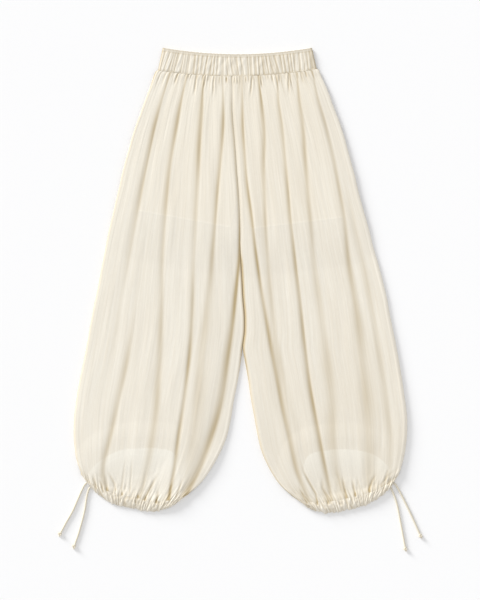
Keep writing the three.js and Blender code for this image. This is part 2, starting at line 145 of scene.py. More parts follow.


# the cloth attribute holds painted shade (how dark a fold, crease or gap is drawn), how many layers lie under
# it, and painted light (light through the sheer layers, and highlights)
def makeCloth(name, alpha, tone=1.0, crumpleMm=0.0):
    look = Look(name, Roughness=clothLook["roughness"], Sheen_Weight=clothLook["sheen"], Sheen_Roughness=0.4,
                Specular_IOR_Level=0.3)
    light, warm = [tuple(tone * part for part in clothLook[key][:3]) + (1,) for key in ("light", "warm")]
    marks = look.node("ShaderNodeAttribute", {"attribute_name": "cloth"})
    shade = look.node("ShaderNodeSeparateColor", {}, {"Color": marks})
    layers, paintedLight = shade.other("Green"), shade.other("Blue")
    place = look.node("ShaderNodeUVMap", {"uv_map": "cut"})

    def noise(pattern):
        across, along, detail, roughness = clothLook[pattern]
        scaled = look.node("ShaderNodeMapping", {}, {"Vector": place, "Scale": (across, along, 1)})
        return look.node("ShaderNodeTexNoise", {}, {"Vector": scaled, "Scale": 1.0, "Detail": detail,
                                                    "Roughness": roughness})

    streaks, clouds, slubs, weave = [noise(pattern) for pattern in ("streaks", "clouds", "slubs", "weave")]
    tinted = look.mix(clouds * 0.8 + streaks * 1.5 + slubs * 0.5 - 0.9, light, warm)
    # painted light lifts the cloth towards its light colour, then painted shade darkens it towards the deep
    # colour
    lifted = look.mix(paintedLight, tinted, clothLook["paintedLight"])
    look.feed("Base Color", look.mix(shade, lifted, clothLook["deep"]))
    if alpha < 1:
        look.feed("Alpha", layers * (1 - alpha) + shade * (1 - alpha) + alpha)
    height = streaks * (clothLook["crinkleMm"] * mm) + weave * (clothLook["weaveMm"] * mm)
    if crumpleMm:
        height = height + noise("crumples") * (crumpleMm * mm)
    look.feed("Normal", look.node("ShaderNodeBump", {}, {"Height": height, "Distance": 1.0}))
    look.feed("Roughness", weave * 0.12 + (clothLook["roughness"] - 0.06))
    return look.material


sheerCloth = makeCloth("sheerChiffon", 0.85)
bandCloth = makeCloth("gatheredChiffon", 1, tone=0.925, crumpleMm=0.55)
backCloth = makeCloth("rearChiffon", 1)
liningCloth = makeCloth("liningCloth", 1, tone=0.93)


def makeCordLook():
    look = Look("cordCloth", Roughness=0.7, Sheen_Weight=0.3)
    place = look.node("ShaderNodeTexCoord").other("Object")
    fine = look.node("ShaderNodeTexNoise", {}, {"Vector": place, "Scale": 900.0, "Detail": 2.0})
    slanted = look.node("ShaderNodeMapping", {}, {"Vector": place, "Rotation": (0.5, 0, 0.6)})
    waves = look.node("ShaderNodeTexWave", {"bands_direction": "Y"}, {"Vector": slanted, "Scale": 150.0})
    strands = waves.other("Fac") * 0.55 + fine * 0.45
    look.feed("Base Color", look.mix(strands, (0.68, 0.61, 0.47, 1), (0.83, 0.77, 0.64, 1)))
    look.feed("Normal", look.node("ShaderNodeBump", {}, {"Height": strands, "Distance": 0.4 * mm}))
    return look.material


cordCloth = makeCordLook()


def makeThreadLook():
    look = Look("sewingThread", Roughness=0.5, Sheen_Weight=0.2)
    place = look.node("ShaderNodeTexCoord").other("Object")
    fine = look.node("ShaderNodeTexNoise", {}, {"Vector": place, "Scale": 2500.0})
    look.feed("Base Color", look.mix(fine, (0.78, 0.70, 0.55, 1), (0.66, 0.57, 0.41, 1)))
    return look.material


threadCloth = makeThreadLook()
print("materials ready")


# Table look-up and small helpers

def tableValue(places, values, place):  # smooth value of a table at a place between its rising places
    places, values = np.asarray(places, float), np.asarray(values, float)
    slopes = np.gradient(values, places)
    cell = np.clip(np.searchsorted(places, place) - 1, 0, len(places) - 2)
    width = places[cell + 1] - places[cell]
    h = np.clip((place - places[cell]) / width, -0.5, 1.5)
    return ((2 * h**3 - 3 * h**2 + 1) * values[cell] + (h**3 - 2 * h**2 + h) * width * slopes[cell]
            + (3 * h**2 - 2 * h**3) * values[cell + 1] + (h**3 - h**2) * width * slopes[cell + 1])


def rowValue(values, place):  # the same, for a table with one row at each whole number
    return tableValue(np.arange(len(values)), values, place)


def levelValue(levels, values, level):  # the same, for levels that fall from the waist to the hem
    return tableValue(-np.asarray(levels, float), values, -level)


def unit(value):
    return np.clip(value, 0, 1)


def ease(value, low, high):  # from 0 at low to 1 at high, smooth at both ends
    share = unit((value - low) / (high - low))
    return share * share * (3 - 2 * share)


def blend(low, high, share):
    return low + (high - low) * share


def bell(value, width):  # 1 at zero, and it falls off smoothly on both sides
    return np.exp(-((value / width) ** 2))


def rounded(distance, radius):  # a quarter circle: 0 at an edge, 1 from its radius inwards
    return np.sqrt(unit(1 - (1 - np.minimum(distance / radius, 1)) ** 2))


def runAlong(line):  # distance along a line to each of its points
    return np.concatenate([[0], np.cumsum(np.hypot(*np.diff(line, axis=0).T))])


def nearestOn(starts, ends, x, y):  # distance to the nearest of some straight stretches
    nearest = np.full(np.shape(x), np.inf)
    for (ax, ay), (bx, by) in zip(starts, ends):
        dx, dy = bx - ax, by - ay
        share = np.clip(((x - ax) * dx + (y - ay) * dy) / (dx * dx + dy * dy + 1e-9), 0, 1)
        nearest = np.minimum(nearest, np.hypot(x - ax - share * dx, y - ay - share * dy))
    return nearest


def nearLine(points, x, y):  # distance to a line through some points, and how far along it (0 to 1) that is
    nearest, place = np.full(np.shape(x), np.inf), np.zeros(np.shape(x))
    for index, ((ax, ay), (bx, by)) in enumerate(zip(points[:-1], points[1:])):
        dx, dy = bx - ax, by - ay
        share = np.clip(((x - ax) * dx + (y - ay) * dy) / (dx * dx + dy * dy), 0, 1)
        away = np.hypot(x - ax - share * dx, y - ay - share * dy)
        place = np.where(away < nearest, (index + share) / (len(points) - 1), place)
        nearest = np.minimum(nearest, away)
    return nearest, place


def distanceOutside(outline, x, y):  # 0 inside a closed outline
    inside = np.zeros(np.shape(x), bool)
    before = np.roll(outline, 1, axis=0)
    for (ax, ay), (bx, by) in zip(before, outline):
        if ay != by:
            inside ^= ((ay > y) != (by > y)) & (x < ax + (bx - ax) * (y - ay) / (by - ay))
    return np.where(inside, 0, nearestOn(before, outline, x, y))


# Meshes from grids of points

sharpEdge = math.radians(70)


def finishMesh(name, points, faces, uv, marks, material):
    mesh = bpy.data.meshes.new(name)
    mesh.from_pydata((points * mm).tolist(), [], faces)
    mesh.update()
    corners = np.empty(len(mesh.loops), int)
    mesh.loops.foreach_get("vertex_index", corners)
    layer = mesh.uv_layers.new(name="cut")
    layer.data.foreach_set("uv", (uv[corners] * mm).astype(np.float32).ravel())
    colours = mesh.color_attributes.new(name="cloth", type="FLOAT_COLOR", domain="POINT")
    colours.data.foreach_set("color", marks.astype(np.float32).ravel())
    mesh.shade_smooth()
    mesh.set_sharp_from_angle(angle=sharpEdge)
    mesh.materials.append(material)
    return addObject(name, mesh)


def shell(name, outer, inner, step, uv, marks, material, wrap=False):
    # a closed thin wall: a fine outer grid, a coarse inner one (every step-th row and column), and its rims
    rows, columns = outer.shape[:2]
    innerRows, innerColumns = inner.shape[:2]
    width, innerWidth = (columns, innerColumns) if wrap else (columns - 1, innerColumns - 1)

    def outerAt(r, c):
        return r * columns + c % columns

    def innerAt(r, c):
        return rows * columns + r * innerColumns + c % innerColumns

    def joined(values):  # values of the outer grid's points, then of the inner one's
        size = values.shape[-1]
        coarse = values[::step, ::step][:innerRows, :innerColumns]
        return np.concatenate([values.reshape(-1, size), coarse.reshape(-1, size)])

    faces = []
    for r in range(rows - 1):
        for c in range(width):
            faces.append((outerAt(r, c), outerAt(r + 1, c), outerAt(r + 1, c + 1), outerAt(r, c + 1)))
    for r in range(innerRows - 1):
        for c in range(innerWidth):
            faces.append((innerAt(r, c), innerAt(r, c + 1), innerAt(r + 1, c + 1), innerAt(r + 1, c)))
    for c in range(innerWidth):
        top = [outerAt(0, c * step + k) for k in range(step + 1)]
        faces.append(tuple(top + [innerAt(0, c + 1), innerAt(0, c)]))
        low = [outerAt(rows - 1, (c + 1) * step - k) for k in range(step + 1)]
        faces.append(tuple(low + [innerAt(innerRows - 1, c), innerAt(innerRows - 1, c + 1)]))
    if not wrap:
        for r in range(innerRows - 1):
            left = [outerAt((r + 1) * step - k, 0) for k in range(step + 1)]
            faces.append(tuple(left + [innerAt(r, 0), innerAt(r + 1, 0)]))
            right = [outerAt(r * step + k, columns - 1) for k in range(step + 1)]
            faces.append(tuple(right + [innerAt(r + 1, innerColumns - 1), innerAt(r, innerColumns - 1)]))
    if not facesUp(outer):
        faces = [face[::-1] for face in faces]
    points = np.concatenate([outer.reshape(-1, 3), inner.reshape(-1, 3)])
    return finishMesh(name, points, faces, joined(uv), joined(marks), material)


def facesUp(grid):  # whether the faces between the grid's points look up
    down, across = grid[-1, 0] - grid[0, 0], grid[0, -1] - grid[0, 0]
    if abs(across).sum() <= 1:  # a ring ends where it starts
        across = grid[0, 5] - grid[0, 0]
    return np.cross(down, across)[2] >= 0


def lowestNear(heights, reach):  # lowest height within a few columns and rows
    rows, columns = heights.shape
    padded = np.pad(heights, reach, mode="edge")
    across = np.min([padded[:, k:k + columns] for k in range(2 * reach + 1)], axis=0)
    return np.min([across[k:k + rows] for k in range(2 * reach + 1)], axis=0)


def stack(*layers):  # values side by side on a new last axis
    return np.stack(np.broadcast_arrays(*layers), axis=-1)


stitch = {"pitch": 3.2, "length": 2.3, "width": 0.5, "height": 0.3, "seed": 7, "lift": 0.02, "segments": 6,
          "rings": 4}
seamRows = []  # points of each row of stitches, kept as the pieces are made and sewn at the end


def sewAlong(points):
    seamRows.append(points + (0, 0, stitch["lift"]))


def standFor(piece, node):
    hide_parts(node)
    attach(piece, "root")


def keep(piece, node):
    standFor(piece, node)


# Cord ends: the routes run from the casing to the knot, in metres

cord = {"width": 0.0036, "height": 0.0019, "pointsPerStretch": 6, "bevelSteps": 4}
cordRoutes = {
    "cord_a": [(-0.323, -0.4246), (-0.3275, -0.429), (-0.333, -0.440), (-0.341, -0.458), (-0.353, -0.485),
               (-0.365, -0.506), (-0.377, -0.528)],
    "cord_b": [(-0.31585, -0.4338), (-0.3195, -0.441), (-0.323, -0.456), (-0.327, -0.482), (-0.334, -0.510),
               (-0.341, -0.534), (-0.348, -0.554)],
    "cord_c": [(0.3149, -0.4348), (0.319, -0.443), (0.328, -0.468), (0.336, -0.508), (0.341, -0.535),
               (0.3453, -0.559)],
    "cord_d": [(0.322, -0.4252), (0.3265, -0.430), (0.334, -0.443), (0.345, -0.465), (0.358, -0.492),
               (0.368, -0.514), (0.376, -0.532)],
}
knot = {
    "size": 1.18, "strand": 1.45, "flatten": 0.72, "rise": 1.35, "narrow": 0.92, "loops": 72, "sides": 10,
    "reach": 4.2, "clear": 0.1, "tailFrom": (2.2, 0.3, -0.6), "tailTo": (6.2, 0.9, -1.2), "tailRings": 7,
    "tailRadii": (1.3, 1.75),
}


def splinePoints(points):  # a smooth line through the given points
    places = np.linspace(0, len(points) - 1, (len(points) - 1) * cord["pointsPerStretch"] + 1)
    return stack(*[rowValue(column, places) for column in np.array(points).T])


def makeCord(name, points):
    line = splinePoints(points)
    made = bpy.data.curves.new(name + "_cloth", "CURVE")
    made.dimensions = "3D"
    made.bevel_depth = cord["width"] / 2
    made.bevel_resolution = cord["bevelSteps"]
    made.use_fill_caps = True
    spline = made.splines.new("POLY")
    spline.points.add(len(line) - 1)
    for point, (x, y) in zip(spline.points, line):
        point.co = (x, y, cord["height"], 1)
    made.materials.append(cordCloth)
    piece = addObject(name + "_cloth", made)
    knotPiece = makeKnot(name, line[-1], math.atan2(*(line[-1] - line[-3])[::-1]))
    length = float(np.hypot(*np.diff(line, axis=0).T).sum())
    standFor(piece, name)
    standFor(knotPiece, name + "_knot")


def tube(line, radius, sides, closed):  # rings round a line, in millimetres
    ahead = np.roll(line, -1, axis=0) - np.roll(line, 1, axis=0)
    if not closed:
        ahead[0], ahead[-1] = line[1] - line[0], line[-1] - line[-2]
    ahead /= np.linalg.norm(ahead, axis=1)[:, None]
    side = np.cross(ahead, (0, 0, 1))
    side /= np.linalg.norm(side, axis=1)[:, None]
    up = np.cross(ahead, side)
    turns = np.linspace(0, 2 * math.pi, sides, endpoint=False)
    ring = side[:, None] * np.cos(turns)[:, None] + up[:, None] * np.sin(turns)[:, None]
    points = line[:, None] + ring * np.reshape(radius, (-1, 1, 1))
    count = len(line)
    faces = []
    for r in range(count if closed else count - 1):
        near, far = r * sides, (r + 1) % count * sides
        faces += [(near + s, near + (s + 1) % sides, far + (s + 1) % sides, far + s) for s in range(sides)]
    if not closed:
        faces += [tuple(range(sides))[::-1], tuple((count - 1) * sides + s for s in range(sides))]
    return points.reshape(-1, 3), faces


def makeKnot(name, end, angle):  # a trefoil of cord, with a short tail past it
    turn = np.linspace(0, 2 * math.pi, knot["loops"], endpoint=False)
    size = knot["size"]
    loop = stack(size * (np.sin(turn) + 2 * np.sin(2 * turn)), size * (np.cos(turn) - 2 * np.cos(2 * turn)),
                 -knot["rise"] * size * np.sin(3 * turn) * knot["flatten"])
    points, faces = tube(loop, knot["strand"], knot["sides"], True)
    tail = np.linspace(knot["tailFrom"], knot["tailTo"], knot["tailRings"])
    tailRadii = np.linspace(*knot["tailRadii"], knot["tailRings"])
    tailPoints, tailFaces = tube(tail, tailRadii, knot["sides"], False)
    faces += [tuple(index + len(points) for index in face) for face in tailFaces]
    points = np.concatenate([points, tailPoints])
    points[:, :2] *= knot["narrow"]
    cos, sin = math.cos(angle), math.sin(angle)
    turned = points @ np.array([[cos, sin, 0], [-sin, cos, 0], [0, 0, 1]])
    centre = np.array([end[0] / mm + cos * knot["reach"], end[1] / mm + sin * knot["reach"],
                       knot["clear"] - turned[:, 2].min()])
    uv, marks = np.zeros((len(points), 2)), np.zeros((len(points), 4))
    return finishMesh(name + "_knot_cloth", turned + centre, faces, uv, marks, cordCloth)


for cordName, cordPoints in cordRoutes.items():
    makeCord(cordName, cordPoints)
print("cords ready")


# Waistband

band = {
    "topY": 488, "topLeftX": -163, "topRightX": 150, "seamLeftX": -173, "seamLeftY": 441,
    "seamRightX": 160, "seamRightY": 444, "sag": 13.5, "gathers": 38, "height": 5.3, "relief": 0.95,
    "width": 323, "round": 650, "deep": 45, "header": 0.14, "roll": 4.5, "crumple": 0.55, "rows": 41,
    "frontColumns": 480, "rearColumns": 60, "step": 4, "seamRow": 37, "seamEnds": 6,
}


def bandPoint(share, down):
    leftX = blend(band["topLeftX"], band["seamLeftX"], down)
    leftY = blend(band["topY"], band["seamLeftY"], down)
    rightX = blend(band["topRightX"], band["seamRightX"], down)
    rightY = blend(band["topY"], band["seamRightY"], down)
    sag = band["sag"] * (1 - (2 * share - 1) ** 2)
    return blend(leftX, rightX, share), blend(leftY, rightY, share) - sag


def bandSeamY(x):
    share = (x - band["seamLeftX"]) / (band["seamRightX"] - band["seamLeftX"])
    return bandPoint(share, 1)[1]


def gatherRelief(phase, seed):  # uneven gathers, 0 in the valleys to about 1 on the crests, and two chances
    chance = np.random.default_rng(seed).uniform(0, 1, (4, 256))
    index = np.floor(phase).astype(int) % 256
    part = phase - np.floor(phase)
    lean = 0.5 + 0.22 * (chance[0][index] - 0.5)
    bent = np.where(part < lean, 0.5 * part / lean, 0.5 + 0.5 * (part - lean) / (1 - lean))
    crest = (0.5 - 0.5 * np.cos(2 * math.pi * bent)) ** 0.8
    return crest * (0.45 + 0.55 * chance[1][index]), chance[2][index], chance[3][index]


def crumple(across, down, seed):  # smooth chance field from -1 to 1, one lump to each whole step
    grid = np.random.default_rng(seed).uniform(-1, 1, (128, 256))
    i, j = np.floor(down).astype(int), np.floor(across).astype(int)
    partI, partJ = ease(down - i, 0, 1), ease(across - j, 0, 1)
    i, j = i % 127, j % 255
    near = blend(grid[i, j], grid[i, j + 1], partJ)
    far = blend(grid[i + 1, j], grid[i + 1, j + 1], partJ)
    return blend(near, far, partI)


def unevenPhase(share, count, seed, amount):  # place along a row counted in gathers of uneven width
    widths = np.random.default_rng(seed).uniform(1 - amount, 1 + amount, count)
    edges = np.concatenate([[0], np.cumsum(widths)]) / widths.sum()
    return np.interp(share, edges, np.arange(count + 1))


def makeBand():
    columns, step = band["frontColumns"] + band["rearColumns"], band["step"]
    down = np.linspace(0, 1, band["rows"])[:, None]
    share = np.concatenate([np.linspace(0, 1, band["frontColumns"]),
                            np.linspace(1, 0, band["rearColumns"] + 2)[1:-1]])[None, :]
    isFront = (np.arange(columns) < band["frontColumns"])[None, :]
    slant = 0.3 * np.sin(7 * share + 0.6) + 0.3 * np.sin(23 * share)
    phase = unevenPhase(share, band["gathers"], 11, 0.5) + (down - 0.5) * slant
    crest, chanceA, chanceB = gatherRelief(phase, 12)
    second, _, _ = gatherRelief(phase * 1.9 + 0.4 * np.sin(7 * share) + 2.2 * (down - 0.5) * slant, 15)
    edge = ease(down, 0.05, 0.19) * ease(1 - down, 0, 0.05)
    swell = (1.04 - 0.04 * ease(down, 0, 0.1)) * (0.96 + 0.04 * ease(1 - down, 0, 0.12))
    header = bell(down - band["header"], 0.025)
    fromEnd = np.minimum(share, 1 - share) * band["width"]
    roll = rounded(fromEnd, band["roll"])
    pucker = 0.72 + 0.28 * np.sin(5.5 * down + 6.3 * chanceA)
    wave = blend(0.5, crest * 0.85 * pucker + second * 0.4, 0.12 + 0.88 * edge) * (1 - 0.2 * header)
    top = band["height"] * swell * blend(0.45, 1, roll) + band["relief"] * wave * roll
    top = top + band["crumple"] * crumple(share * 40 + down, down * 3.3, 17) * roll * edge
    x, y = bandPoint(share, down)
    y = y + np.where(isFront & (down < 0.5), 0.5 * (1 - edge) * (crest - 0.5), 0)
    outer = stack(x, y, np.where(isFront, top, 0.05))
    inner = stack(*bandPoint(blend(0.012, 0.988, share[:, ::step]), down[::step]),
                  np.where(isFront[:, ::step], 2.6, 2.0))
    # Painted shade: in the gather troughs (partly the denser gathered cloth), along the rolled top edge, over
    # the header and along its fold line, and at both ends; seamLine is the dark waist seam
    troughs = unit(1 - 1.5 * (0.72 * crest + 0.28 * second)) * edge
    seamLine = bell(down - 1, 0.035) * (0.3 + 0.35 * chanceB)
    topLine = 0.3 * bell(down, 0.045) + 0.2 * (1 - ease(down, 0.05, 0.17)) + 0.28 * header
    shade = 0.8 * troughs * (0.45 + 0.55 * chanceB) + seamLine + topLine + 0.5 * bell(fromEnd, 3)
    # the third mark is a painted highlight on the gather crests
    marks = stack(unit(np.where(isFront, shade, 0.1)), 0, 0.04 * crest * edge, 1.0)
    uv = stack(share * band["round"], down * band["deep"])
    sewAlong(outer[band["seamRow"], band["seamEnds"]:band["frontColumns"] - band["seamEnds"]])
    piece = shell("waistbandCloth", outer, inner, step, uv, marks, bandCloth, wrap=True)
    keep(piece, "waistband")


makeBand()
print("waistband ready")


# Legs: plan sections from the waist seam to the casing (outer end, inner end, bow of the middle)

legSections = {
    "left": [
        (-173, 441, -18, 428, 0), (-182, 424, -18, 413, 0), (-192, 400, -17.5, 390, 0),
        (-205, 366, -17, 358, 0), (-217, 332, -15, 325, 0), (-226.5, 304, -12.5, 298, 0),
        (-238, 264, -10, 262, 0), (-247, 230, -8, 230, 0), (-254.5, 196, -5, 196, 0),
        (-261.5, 168, -3, 168, 0), (-268.5, 138, -1.5, 138, 0), (-276, 106, -0.5, 106, 0),
        (-283, 72, 0, 72, 0), (-290, 36, 1.5, 36, 0), (-296.5, 2, 3.5, 2, 0), (-304, -36, 5.5, -36, 0),
        (-311.5, -72, 8.5, -72, 0), (-318, -108, 8.5, -108, 0), (-324, -142, 4, -142, 0),
        (-331, -176, 0, -176, 0), (-338, -210, -6, -212, 0), (-344.5, -248, -13.5, -250, -1),
        (-349, -286, -19.5, -287, -2), (-350, -320, -27.5, -324, -4), (-348.5, -350, -40, -356, -8),
        (-344.5, -374, -60, -393, -14), (-339.5, -392, -82, -424, -20), (-333, -408.5, -109, -448.5, -27),
    ],
    "right": [
        (160, 444, -18, 428, -1), (169, 425, -18, 413, 0), (182, 401, -17.5, 390, 0),
        (195, 366, -17, 358, 0), (207, 334, -15, 325, 0), (216.5, 305, -12.5, 298, 0),
        (228, 264, -10, 262, 0), (237.5, 230, -8, 230, 0), (245.5, 196, -5, 196, 0),
        (252.5, 168, -3, 168, 0), (261, 138, -1.5, 138, 0), (270, 106, -0.5, 106, 0),
        (278.5, 72, 0, 72, 0), (289, 36, 1.5, 36, 0), (298, 2, 3.5, 2, 0), (307, -36, 5.5, -36, 0),
        (313.5, -72, 8.5, -72, 0), (321, -108, 8.5, -108, 0), (328, -142, 5, -142, 0),
        (334, -176, 10, -174, 0), (339.5, -210, 16, -209, 0), (345, -248, 21.5, -248, -1),
        (349.5, -286, 28.5, -286, -2), (350, -318, 35, -322, -4), (347, -350, 44.5, -360, -8),
        (342.5, -374, 62, -398, -14), (337.5, -392, 82, -428, -20), (331, -408.5, 109, -453, -27),
    ],
}

# Lower edge of each casing: outer end, inner end, and how far its middle bows down
hemEnds = {"left": (-320, -427, -131, -464), "right": (319, -428, 131, -468)}
hemBow = -34.2

# Long folds: X of each valley at these levels, how deep it is there (1 is a full fold), how wide its gentle
# left side and its steep right side are at the waist and at the hem, and how high the lip right of it stands
foldLevels = [430, 380, 330, 230, 130, 30, -70, -170, -270, -340, -400, -460]
legFolds = {
    "left": [
        {"x": (-149, -165, -178, -199, -219, -237, -254, -269, -286, -297, -301, -303),
         "depth": (0.7, 0.6, 0.8, 0.75, 0.55, 0.3, 0.2, 0.1, 0, 0, 0, 0),
         "gentle": (9, 12), "steep": (3.6, 7), "lip": 1.4},
        {"x": (-169, -171, -172, -182, -195, -208, -223, -238, -260, -276, -288, -274),
         "depth": (0, 0, 0, 0, 0, 0, 0.1, 0.6, 0.65, 0.65, 0.75, 0.5),
         "gentle": (10, 9), "steep": (5, 5.5), "lip": 1.4},
        {"x": (-112, -123, -132, -149, -158, -164, -166, -170, -176, -186, -198, -213),
         "depth": (0.8, 0.85, 0.85, 0.7, 0.65, 0.5, 0.6, 0.65, 0.65, 0.6, 0.35, 0.35),
         "gentle": (8, 10), "steep": (3.6, 8), "lip": 1.6},
        {"x": (-77, -80, -83, -88, -94, -99, -101, -109, -122, -132, -140, -152),
         "depth": (0.65, 0.85, 0.95, 0.7, 0.45, 0.45, 0.8, 1.05, 0.8, 1, 0.95, 1),
         "gentle": (9, 5), "steep": (4.5, 5.5), "lip": 1.4},
        {"x": (-37, -36, -36, -44, -52, -61, -72, -85, -94, -102, -110, -118),
         "depth": (0.5, 0.6, 0.9, 0.75, 0.85, 0.7, 0.5, 0.5, 0.45, 0.4, 0.2, 0.1),
         "gentle": (7, 10), "steep": (3.4, 19), "lip": 1},
        {"x": (-18, -16, -14, -8, -1, -4, -14, -27, -43, -65, -88, -119),
         "depth": (0, 0, 0, 0, 0.3, 1.4, 1.4, 1, 1, 1, 0.9, 0.8),
         "gentle": (4, 13), "steep": (2.6, 6.5), "lip": 0.6},
    ],
    "right": [
        {"x": (3, 4, 5, 12, 24, 36, 52, 69, 88, 104, 118, 141),
         "depth": (0.7, 0.7, 0.85, 0.8, 1.05, 1.2, 1, 1.05, 0.85, 0.85, 0.75, 0.6),
         "gentle": (6, 5), "steep": (3, 8), "lip": 1.6},
        {"x": (37, 44, 49, 49, 53, 58, 67, 82, 104, 126, 151, 167),
         "depth": (0.8, 1, 0.85, 0.6, 0.6, 0.55, 0.45, 0.4, 0.15, 0, 0, 0),
         "gentle": (8, 8), "steep": (3.8, 8), "lip": 1.6},
        {"x": (77, 80, 87, 96, 105, 117, 128, 139, 155, 168, 179, 192),
         "depth": (0.6, 0.7, 0.6, 0.7, 0.85, 1, 0.95, 1, 1.05, 1.1, 0.85, 0.7),
         "gentle": (7, 8), "steep": (3, 4), "lip": 1.2},
        {"x": (119, 123, 130, 138, 146, 155, 170, 184, 194, 196, 203, 221),
         "depth": (0.6, 0.7, 0.75, 0.65, 0.55, 0.5, 0.4, 0.45, 0.5, 0.4, 0.45, 0.3),
         "gentle": (7, 17), "steep": (5, 9), "lip": 1.4},
        {"x": (153, 163, 177, 200, 218, 228, 244, 256, 264, 268, 270, 274),
         "depth": (0.7, 0.6, 0.65, 0.65, 0.7, 0.8, 0.65, 0.5, 0.5, 0.4, 0.4, 0.4),
         "gentle": (6.5, 15), "steep": (4, 19), "lip": 1.8},
        {"x": (163, 180, 193, 212, 236, 259, 277, 295, 309, 315, 311, 301),
         "depth": (0, 0, 0, 0, 0.3, 0.4, 0.4, 0.4, 0.4, 0.3, 0.2, 0.1),
         "gentle": (9, 11), "steep": (5, 6), "lip": 1},
    ],
}
# dark is painted shade in each fold's valley (partly the denser doubled cloth there); the highlight keys give
# a painted highlight right of it
foldForm = {
    "lipOffset": 2.1, "lipWidth": 5.0, "lipShare": 0.05, "sink": 0.18, "dark": 0.86, "darkSides": (0.82, 0.9),
    "paintedHighlight": 0.04, "highlightOffset": 1.7, "highlightWidth": 0.7, "deepest": 1.4,
}

# What differs from leg to leg: radii of the rolled side and inner edges, painted shade in the valley along
# the centre seam, painted light where the single layer below the rear rim lets the floor show through,
# painted light over the whole leg, which rim lines get a painted light line, and a seed
sideForm = {
    "left": {"rolls": (4.6, 6.5), "centreDark": 0.62, "lens": 0.7, "paintedLegLight": 0.2, "rimLines": (0, -0.5),
             "seed": 20},
    "right": {"rolls": (7.5, 4.6), "centreDark": 0.3, "lens": 0.8, "paintedLegLight": 0.05, "rimLines": (0,),
              "seed": 40},
}

# Height of the front cloth over what lies under it, at these levels
loftLevels = [440, 400, 300, 60, -150, -330, -430]
loftHeights = [0.9, 2.4, 3.4, 4.2, 5.2, 6.2, 4.4]

# Relief of the front cloth: broad and small swells, puckers at the hem and the waist, and the painted shade
# in the hollows of the hem puckers
relief = {"broad": 0.42, "small": 0.14, "hem": 0.6, "waist": 0.4, "hemDark": 0.3}

# Painted shade lines: width of the centre seam's, then strength and width of the one in the gap where the
# legs part and of the one on the rolled edge that faces the sun
edgeShade = {"centre": 3.6, "parting": (0.85, 3.4), "sunny": (0.62, 4.2)}

# What the sheer front shows: a darker tone over the lining and painted light along its hem, a darker tone
# over the rear casing and painted light along its lines, painted light over a seam strip at both edges and a
# darker line along it, the strips' widths, and painted shade on the right leg's lower part and upper outer
# corner
seenForm = {"lining": 0.10, "hem": 0.35, "rim": 0.02, "rimLines": 0.45, "strip": 0.12, "stripLine": 0.07,
            "outerStrip": 10.5, "innerStrip": 9, "low": 0.05}

# Short creases, each from its strong end at a seam to where it fades: depth, width, and points of its line
creases = {
    "left": [
        (0.8, 1.8, [(-131, 436), (-136, 421), (-139, 408)]),
        (0.6, 1.4, [(-107, 434), (-110, 421)]),
        (0.9, 1.8, [(-92, 431), (-94, 419), (-96, 400), (-99, 382)]),
        (0.6, 1.5, [(-73, 428), (-75, 415), (-77, 400)]),
        (0.5, 1.3, [(-68, 428), (-69, 416)]),
        (0.8, 1.7, [(-55, 427), (-57, 414), (-57, 398), (-60, 378)]),
        (0.45, 1.6, [(-44, 426), (-45, 408)]),
        (0.9, 1.7, [(-29, 425), (-29.5, 412)]),
        (0.55, 2.4, [(-262, -440), (-264, -427), (-272, -412), (-282, -396)]),
        (0.35, 2.2, [(-249, -450), (-248, -427), (-244, -394), (-239, -362)]),
        (0.3, 2.0, [(-232, -448), (-229, -400), (-226, -366)]),
        (0.85, 2.4, [(-202, -460), (-194, -444), (-184, -425), (-171, -403)]),
        (0.3, 2.2, [(-212, -455), (-203, -428), (-196, -392)]),
        (0.8, 2.3, [(-178, -466), (-175, -455), (-171, -436)]),
        (0.6, 2.0, [(-303, -436), (-307, -420), (-309, -404)]),
        (0.6, 2.0, [(-288, -444), (-292, -428), (-297, -414)]),
        (0.5, 1.8, [(-221, -466), (-222, -450)]),
        (0.6, 2.0, [(-150, -462), (-147, -440), (-143, -420)]),
        (0.6, 2.0, [(-136, -456), (-128, -436), (-120, -410)]),
    ],
    "right": [
        (0.7, 1.5, [(-12, 426), (-12, 410)]),
        (0.6, 1.5, [(-6, 426), (-6, 409)]),
        (0.5, 1.4, [(12, 426), (12, 414)]),
        (0.9, 1.8, [(24, 427), (23, 412), (22, 398), (20, 378)]),
        (0.7, 1.6, [(43, 428), (44, 414), (46, 402)]),
        (0.4, 1.5, [(58, 430), (58, 420)]),
        (0.45, 1.5, [(66, 430), (68, 416)]),
        (0.7, 1.6, [(81, 431), (82, 412)]),
        (0.85, 1.8, [(101, 434), (101, 414), (102, 386)]),
        (0.45, 1.6, [(105, 432), (107, 400)]),
        (0.75, 1.8, [(126, 437), (129, 424), (134, 410)]),
        (0.5, 1.6, [(136, 439), (140, 424)]),
        (0.85, 2.2, [(162, -470), (158, -448), (144, -423), (133, -402), (124, -374)]),
        (0.8, 2.8, [(186, -468), (180, -452), (172, -436), (170, -402)]),
        (0.2, 2.4, [(212, -440), (207, -417), (202, -404), (198, -373)]),
        (0.6, 2.2, [(222, -455), (216, -427), (212, -408)]),
        (0.75, 2.2, [(241, -452), (238, -436), (234, -413)]),
        (0.3, 2.0, [(253, -442), (247, -425), (244, -406)]),
        (0.45, 2.3, [(268, -442), (276, -421), (287, -401)]),
        (0.4, 2.2, [(293, -430), (309, -411), (321, -397)]),
        (0.3, 2.0, [(303, -414), (312, -392)]),
        (0.4, 2.0, [(309, -428), (318, -414)]),
        (0.6, 2.0, [(140, -468), (130, -448), (121, -428)]),
    ],
}

